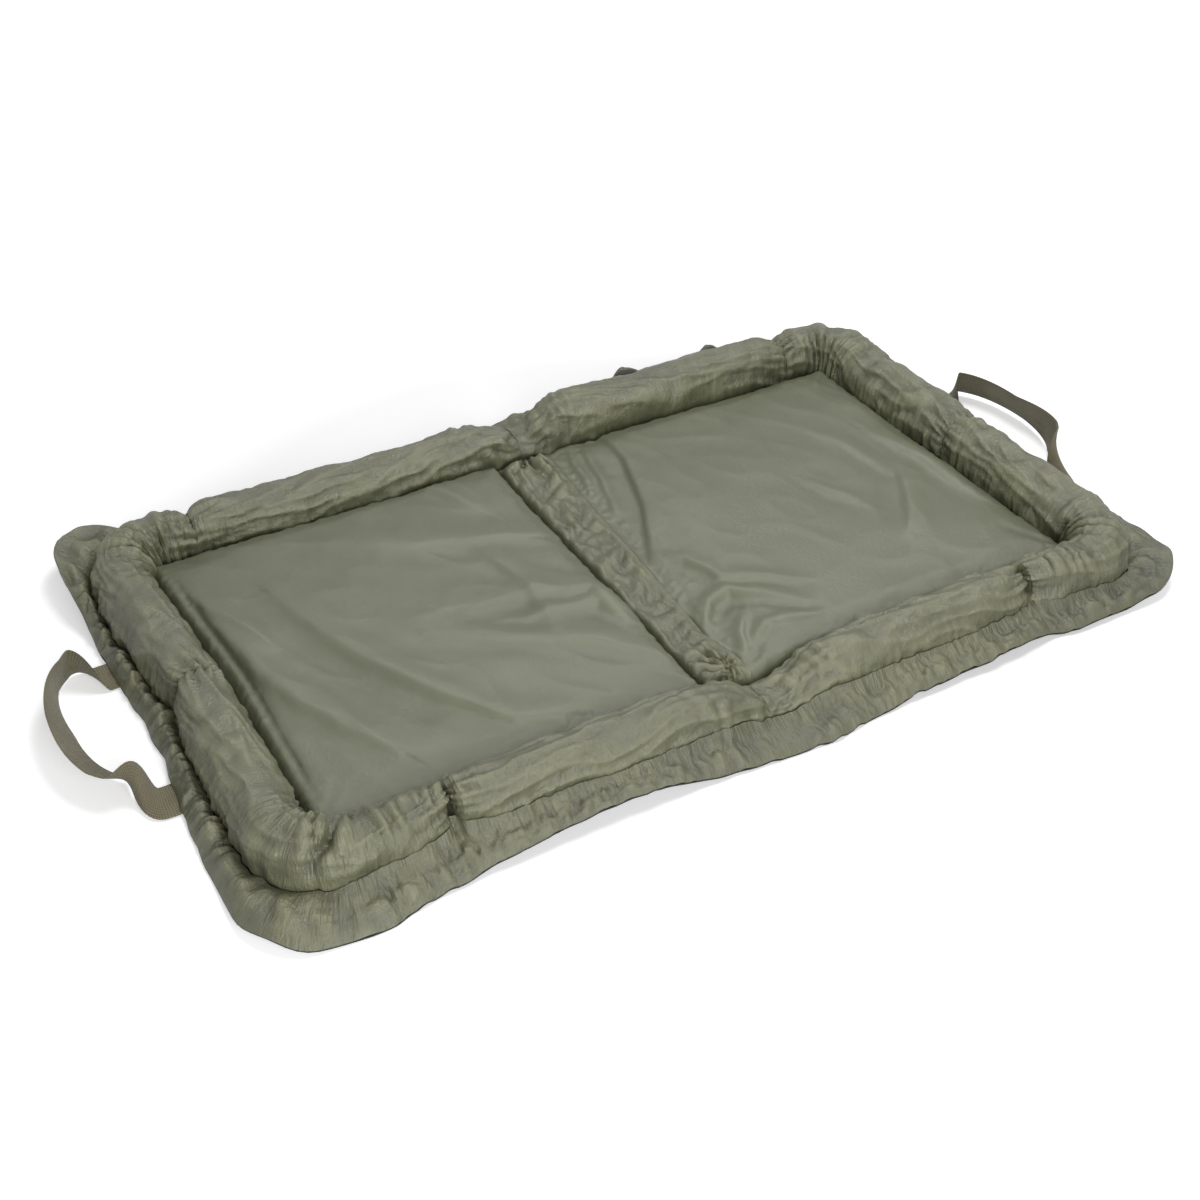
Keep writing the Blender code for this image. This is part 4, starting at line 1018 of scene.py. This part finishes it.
def make_handle(word, side, material):
    """Webbing loop with its two ends, which lie between the skirt and the base."""
    centre, across, through = handle_frame(np.linspace(0, 1, LOOP_STEPS + 1), *HANDLE_LOOPS[side])
    tab = np.linspace(0, 1, TAB_STEPS + 1)[:-1, None]
    root_front = np.array((TAB_INNER_X, -HANDLE_SPAN / 2, HANDLE_HEIGHT))
    root_back = np.array((TAB_INNER_X, HANDLE_SPAN / 2, HANDLE_HEIGHT))
    centre = np.concatenate((root_front + (centre[0] - root_front) * tab, centre,
                             (root_back + (centre[-1] - root_back) * tab)[::-1]))
    across, through = (np.pad(turn, ((TAB_STEPS, TAB_STEPS), (0, 0)), mode="edge") for turn in (across, through))
    half, thin = WEBBING_WIDTH / 2, WEBBING_THICKNESS / 2
    profile = [(-half, 0), (-half + WEBBING_EDGE * 0.3, thin * 0.7), (-half + WEBBING_EDGE, thin)]
    profile += [(step, thin) for step in np.linspace(-half, half, 12)[1:-1]]
    profile += [(half - WEBBING_EDGE, thin), (half - WEBBING_EDGE * 0.3, thin * 0.7), (half, 0)]
    profile += [(-wide, -high) for wide, high in profile[1:-1]] + [profile[0]]
    wide, high = np.array(profile).T
    points = centre[:, None] + across[:, None] * wide[None, :, None] + through[:, None] * high[None, :, None]
    tips = [np.repeat(points[at].mean(axis=0)[None, None], points.shape[1], 1) for at in (0, -1)]
    points = np.concatenate((tips[0], points, tips[1]))
    points[..., 0] *= side
    piece = cloth_piece(f"{word}_handle_band", points)
    finish_piece(piece, material)
    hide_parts(f"{word}_handle_webbing", f"{word}_handle_front_tab", f"{word}_handle_back_tab")
    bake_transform(piece)


# ---- Materials ----

class Wire:
    """A shader socket that adds Math nodes when it is used in a sum."""

    def __init__(self, finish, socket):
        self.finish, self.socket = finish, socket

    def __add__(self, other):
        return self.finish.maths("ADD", self, other)

    def __sub__(self, other):
        return self.finish.maths("SUBTRACT", self, other)

    def __rsub__(self, other):
        return self.finish.maths("SUBTRACT", other, self)

    def __mul__(self, other):
        return self.finish.maths("MULTIPLY", self, other)

    __radd__ = __add__
    __rmul__ = __mul__


class Finish:
    """A material that is put together from nodes."""

    def __init__(self, owner):
        owner.use_nodes = True
        self.owner = owner
        self.tree = owner.node_tree

    def add(self, kind, settings, inputs, output=0):
        node = self.tree.nodes.new(kind)
        for name, value in settings.items():
            setattr(node, name, value)
        for name, value in inputs.items():
            if isinstance(value, Wire):
                self.tree.links.new(value.socket, node.inputs[name])
            else:
                node.inputs[name].default_value = value
        return Wire(self, node.outputs[output])

    def maths(self, operation, *values):
        return self.add("ShaderNodeMath", {"operation": operation}, dict(enumerate(values)))

    def place(self):
        return self.add("ShaderNodeTexCoord", {}, {}, "Object")

    def cloth_spot(self):
        """Distances along and across a piece, from its UV map."""
        spot = self.add("ShaderNodeUVMap", {"uv_map": "cloth"}, {})
        return [self.add("ShaderNodeSeparateXYZ", {}, {0: spot}, axis) for axis in ("X", "Y")]

    def cloth_value(self, name):
        """One of the two attributes that go with a piece of cloth."""
        return self.add("ShaderNodeAttribute", {"attribute_name": name}, {}, "Fac")

    def ray(self, kind):
        return self.add("ShaderNodeLightPath", {}, {}, f"Is {kind} Ray")

    def bump(self, height, strength, distance):
        return self.add("ShaderNodeBump", {}, {"Height": height, "Strength": strength, "Distance": distance}, "Normal")

    def noise(self, place, scale, detail, distortion=0.0):
        return self.add("ShaderNodeTexNoise", {}, {"Vector": place, "Scale": scale, "Detail": detail,
                                                    "Distortion": distortion})

    def span(self, value, low, high, to_low, to_high):
        return self.add("ShaderNodeMapRange", {"clamp": True},
                        {"Value": value, "From Min": low, "From Max": high, "To Min": to_low, "To Max": to_high})

    def mix(self, share, first, second):
        return self.add("ShaderNodeMix", {"data_type": "RGBA"}, {0: share, 6: first, 7: second}, 2)

    def shade(self, **inputs):
        shader = self.tree.nodes["Principled BSDF"]
        for name, value in inputs.items():
            socket = shader.inputs[name.replace("_", " ")]
            if isinstance(value, Wire):
                self.tree.links.new(value.socket, socket)
            else:
                socket.default_value = value


def colour(red, green, blue):
    return (red, green, blue, 1)


# Distances from thread to thread of the cloth, and from rib to rib of the webbing along and across it
WEAVE_PITCH = 0.0009
RIB_PITCH = 0.0022
ROW_PITCH = 0.0030
# The three nylon cloths, one olive nylon with painted shade of different strength: light and dark colour, roughness,
# and strength of the crinkles. The dark colour is partly painted shade in the hollows of the folds, the light colour
# partly a painted highlight on their crests.
CLOTH_LOOKS = {
    "olive nylon": ((0.200, 0.203, 0.118), (0.092, 0.095, 0.056), 0.31, 1.0),
    "olive floor nylon": ((0.164, 0.176, 0.109), (0.128, 0.138, 0.084), 0.33, 0.30),
    "olive skirt nylon": ((0.206, 0.207, 0.119), (0.066, 0.069, 0.041), 0.34, 1.0),
}
# Light and dark colour of the base cloth and of the webbing
BASE_COLOURS = ((0.066, 0.069, 0.060), (0.040, 0.042, 0.038))
WEBBING_COLOURS = ((0.235, 0.212, 0.130), (0.105, 0.090, 0.050))


def make_cloth_finish(name, light, dark, roughness, crinkle):
    """Coated nylon: a fine plain weave, crinkles, painted shade in the hollows of its folds and a painted highlight on
    their crests.
    """
    finish = Finish(bpy.data.materials.new(name))
    along, across = finish.cloth_spot()
    place = finish.place()
    pitch = 2 * math.pi / WEAVE_PITCH
    weave = finish.maths("SINE", along * pitch) * finish.maths("SINE", across * pitch)
    patches = finish.noise(place, 9.0, 3.0)
    mottle = finish.noise(place, 60.0, 4.0, 0.6)
    # Painted shade and highlight: the colour darkens where the cloth lies low on its folds and lightens where it stands
    # high, as light falls on them
    painted_fold_shade_and_highlight = finish.span(finish.cloth_value("stand"), -0.0022, 0.0042, 0.0, 1.0)
    tone = finish.span(patches * 0.55 + mottle * 0.45, 0.35, 0.65, 0.0, 1.0) * 0.40 + painted_fold_shade_and_highlight * 0.60
    cloth = finish.mix(tone, colour(*dark), colour(*light))
    fine = finish.noise(place, 190.0, 3.0, 1.2)
    coarse = finish.noise(place, 70.0, 3.0, 1.6)
    drawn = finish.add("ShaderNodeCombineXYZ", {}, {"X": along * 210, "Y": across * 34})
    streaks = finish.noise(drawn, 1.0, 2.0, 0.5)
    ridged = finish.maths("ABSOLUTE", streaks - 0.5)
    tight = finish.cloth_value("tight")
    crumpled = finish.maths("ABSOLUTE", coarse - 0.5)
    relief = weave * 0.10 + fine * 0.6 * crinkle + crumpled * 3.4 * crinkle + ridged * 6.5 * tight
    rough = finish.span(mottle, 0.3, 0.7, roughness - 0.05, roughness + 0.06)
    finish.shade(Base_Color=cloth, Roughness=rough, Normal=finish.bump(relief, 0.60, 0.0010),
                 Specular_IOR_Level=0.62, Sheen_Weight=0.04, Sheen_Roughness=0.40)
    return finish.owner


def make_base_finish():
    finish = Finish(bpy.data.materials.new("dark base cloth"))
    place = finish.place()
    grime = finish.noise(place, 40.0, 4.0)
    light, dark = BASE_COLOURS
    tone = finish.mix(grime, colour(*dark), colour(*light))
    grain = finish.noise(place, 900.0, 2.0)
    finish.shade(Base_Color=tone, Roughness=0.72, Normal=finish.bump(grain, 0.4, 0.0004))
    return finish.owner


def make_webbing_finish():
    finish = Finish(bpy.data.materials.new("olive brown webbing"))
    along, across = finish.cloth_spot()
    ribs = finish.maths("SINE", along * (2 * math.pi / RIB_PITCH))
    rows = finish.maths("SINE", across * (2 * math.pi / ROW_PITCH) + ribs * 1.2)
    patches = finish.noise(finish.place(), 30.0, 3.0)
    tone = finish.span(ribs * 0.25 + rows * 0.25 + patches, 0.1, 0.9, 0.0, 1.0)
    light, dark = WEBBING_COLOURS
    webbing = finish.mix(tone, colour(*dark), colour(*light))
    bump = finish.bump(ribs * 0.5 + rows * 0.5, 0.8, 0.0004)
    finish.shade(Base_Color=webbing, Roughness=0.75, Normal=bump, Sheen_Weight=0.15)
    return finish.owner


# ---- Stage ----

# The ground, a hair below the mat
GROUND_SIZE = 12
GROUND_Z = -0.0002


def make_ground():
    bpy.ops.mesh.primitive_plane_add(size=GROUND_SIZE, location=(0, 0, GROUND_Z))
    ground = bpy.context.object
    ground.name = "ground"
    finish = Finish(bpy.data.materials.new("white ground"))
    far = finish.add("ShaderNodeVectorMath", {"operation": "LENGTH"}, {0: finish.place()}, "Value")
    strength = finish.ray("Camera") * finish.span(far, 0.45, 0.90, 0.30, 1.0)
    glow = finish.add("ShaderNodeEmission", {}, {"Color": colour(1, 1, 1), "Strength": strength})
    cover = finish.add("ShaderNodeBsdfDiffuse", {}, {"Color": colour(0.90, 0.90, 0.91)})
    both = finish.add("ShaderNodeAddShader", {}, {0: cover, 1: glow})
    finish.tree.links.new(both.socket, finish.tree.nodes["Material Output"].inputs["Surface"])
    ground.data.materials.append(finish.owner)


# World light, and the lamps: place, size and power
WORLD_STRENGTH = 0.17
LAMPS = {"overhead softbox": ((0.45, 0.15, 1.8), 0.7, 19), "front softbox": ((-0.45, -1.40, 0.70), 0.8, 14.5)}


def make_light():
    world = bpy.data.worlds.new("studio")
    bpy.context.scene.world = world
    finish = Finish(world)
    shown = finish.maths("MAXIMUM", finish.ray("Camera"), finish.ray("Glossy"))
    shown = finish.maths("MAXIMUM", shown, finish.ray("Transmission"))
    strength = finish.span(shown, 0.0, 1.0, WORLD_STRENGTH, 1.0)
    background = finish.tree.nodes["Background"]
    background.inputs["Color"].default_value = colour(1, 1, 1)
    finish.tree.links.new(strength.socket, background.inputs["Strength"])

    for name, (place, size, power) in LAMPS.items():
        lamp = bpy.data.lights.new(name, "AREA")
        lamp.shape = "SQUARE"
        lamp.size = size
        lamp.energy = power
        holder = bpy.data.objects.new(name, lamp)
        holder.location = place
        holder.rotation_mode = "QUATERNION"
        holder.rotation_quaternion = (-Vector(place)).to_track_quat("-Z", "Y")
        bpy.context.scene.collection.objects.link(holder)


# The camera of the photograph: where it aims, how far away it stands, its direction and its lens
CAMERA_AIM = (-0.040, -0.026, 0)
CAMERA_DISTANCE = 1.5524
CAMERA_AZIMUTH = math.radians(-29.387)
CAMERA_ELEVATION = math.radians(37.393)
CAMERA_LENS = 46.218
SENSOR_WIDTH = 36


def make_camera():
    data = bpy.data.cameras.new("camera")
    data.sensor_width = SENSOR_WIDTH
    data.lens = CAMERA_LENS
    camera = bpy.data.objects.new("camera", data)
    back = Vector((math.sin(CAMERA_AZIMUTH) * math.cos(CAMERA_ELEVATION),
                   -math.cos(CAMERA_AZIMUTH) * math.cos(CAMERA_ELEVATION), math.sin(CAMERA_ELEVATION)))
    camera.location = Vector(CAMERA_AIM) + back * CAMERA_DISTANCE
    camera.rotation_mode = "QUATERNION"
    camera.rotation_quaternion = (-back).to_track_quat("-Z", "Y")
    bpy.context.scene.collection.objects.link(camera)
    bpy.context.scene.camera = camera


def make_mat():
    olive, floor, skirt = (make_cloth_finish(name, *look) for name, look in CLOTH_LOOKS.items())
    base = make_base_finish()
    webbing = make_webbing_finish()
    for word, side in SIDES:
        make_base(word, side, base)
        make_floor(word, side, LEFT_FOLDS if side < 0 else RIGHT_FOLDS, floor)
        make_strip(word, side, olive)
        make_skirt(word, side, make_rim(word, side, olive), skirt)
        make_handle(word, side, webbing)


bpy.context.scene.view_settings.view_transform = "Standard"
make_ground()
make_light()
make_camera()
make_mat()
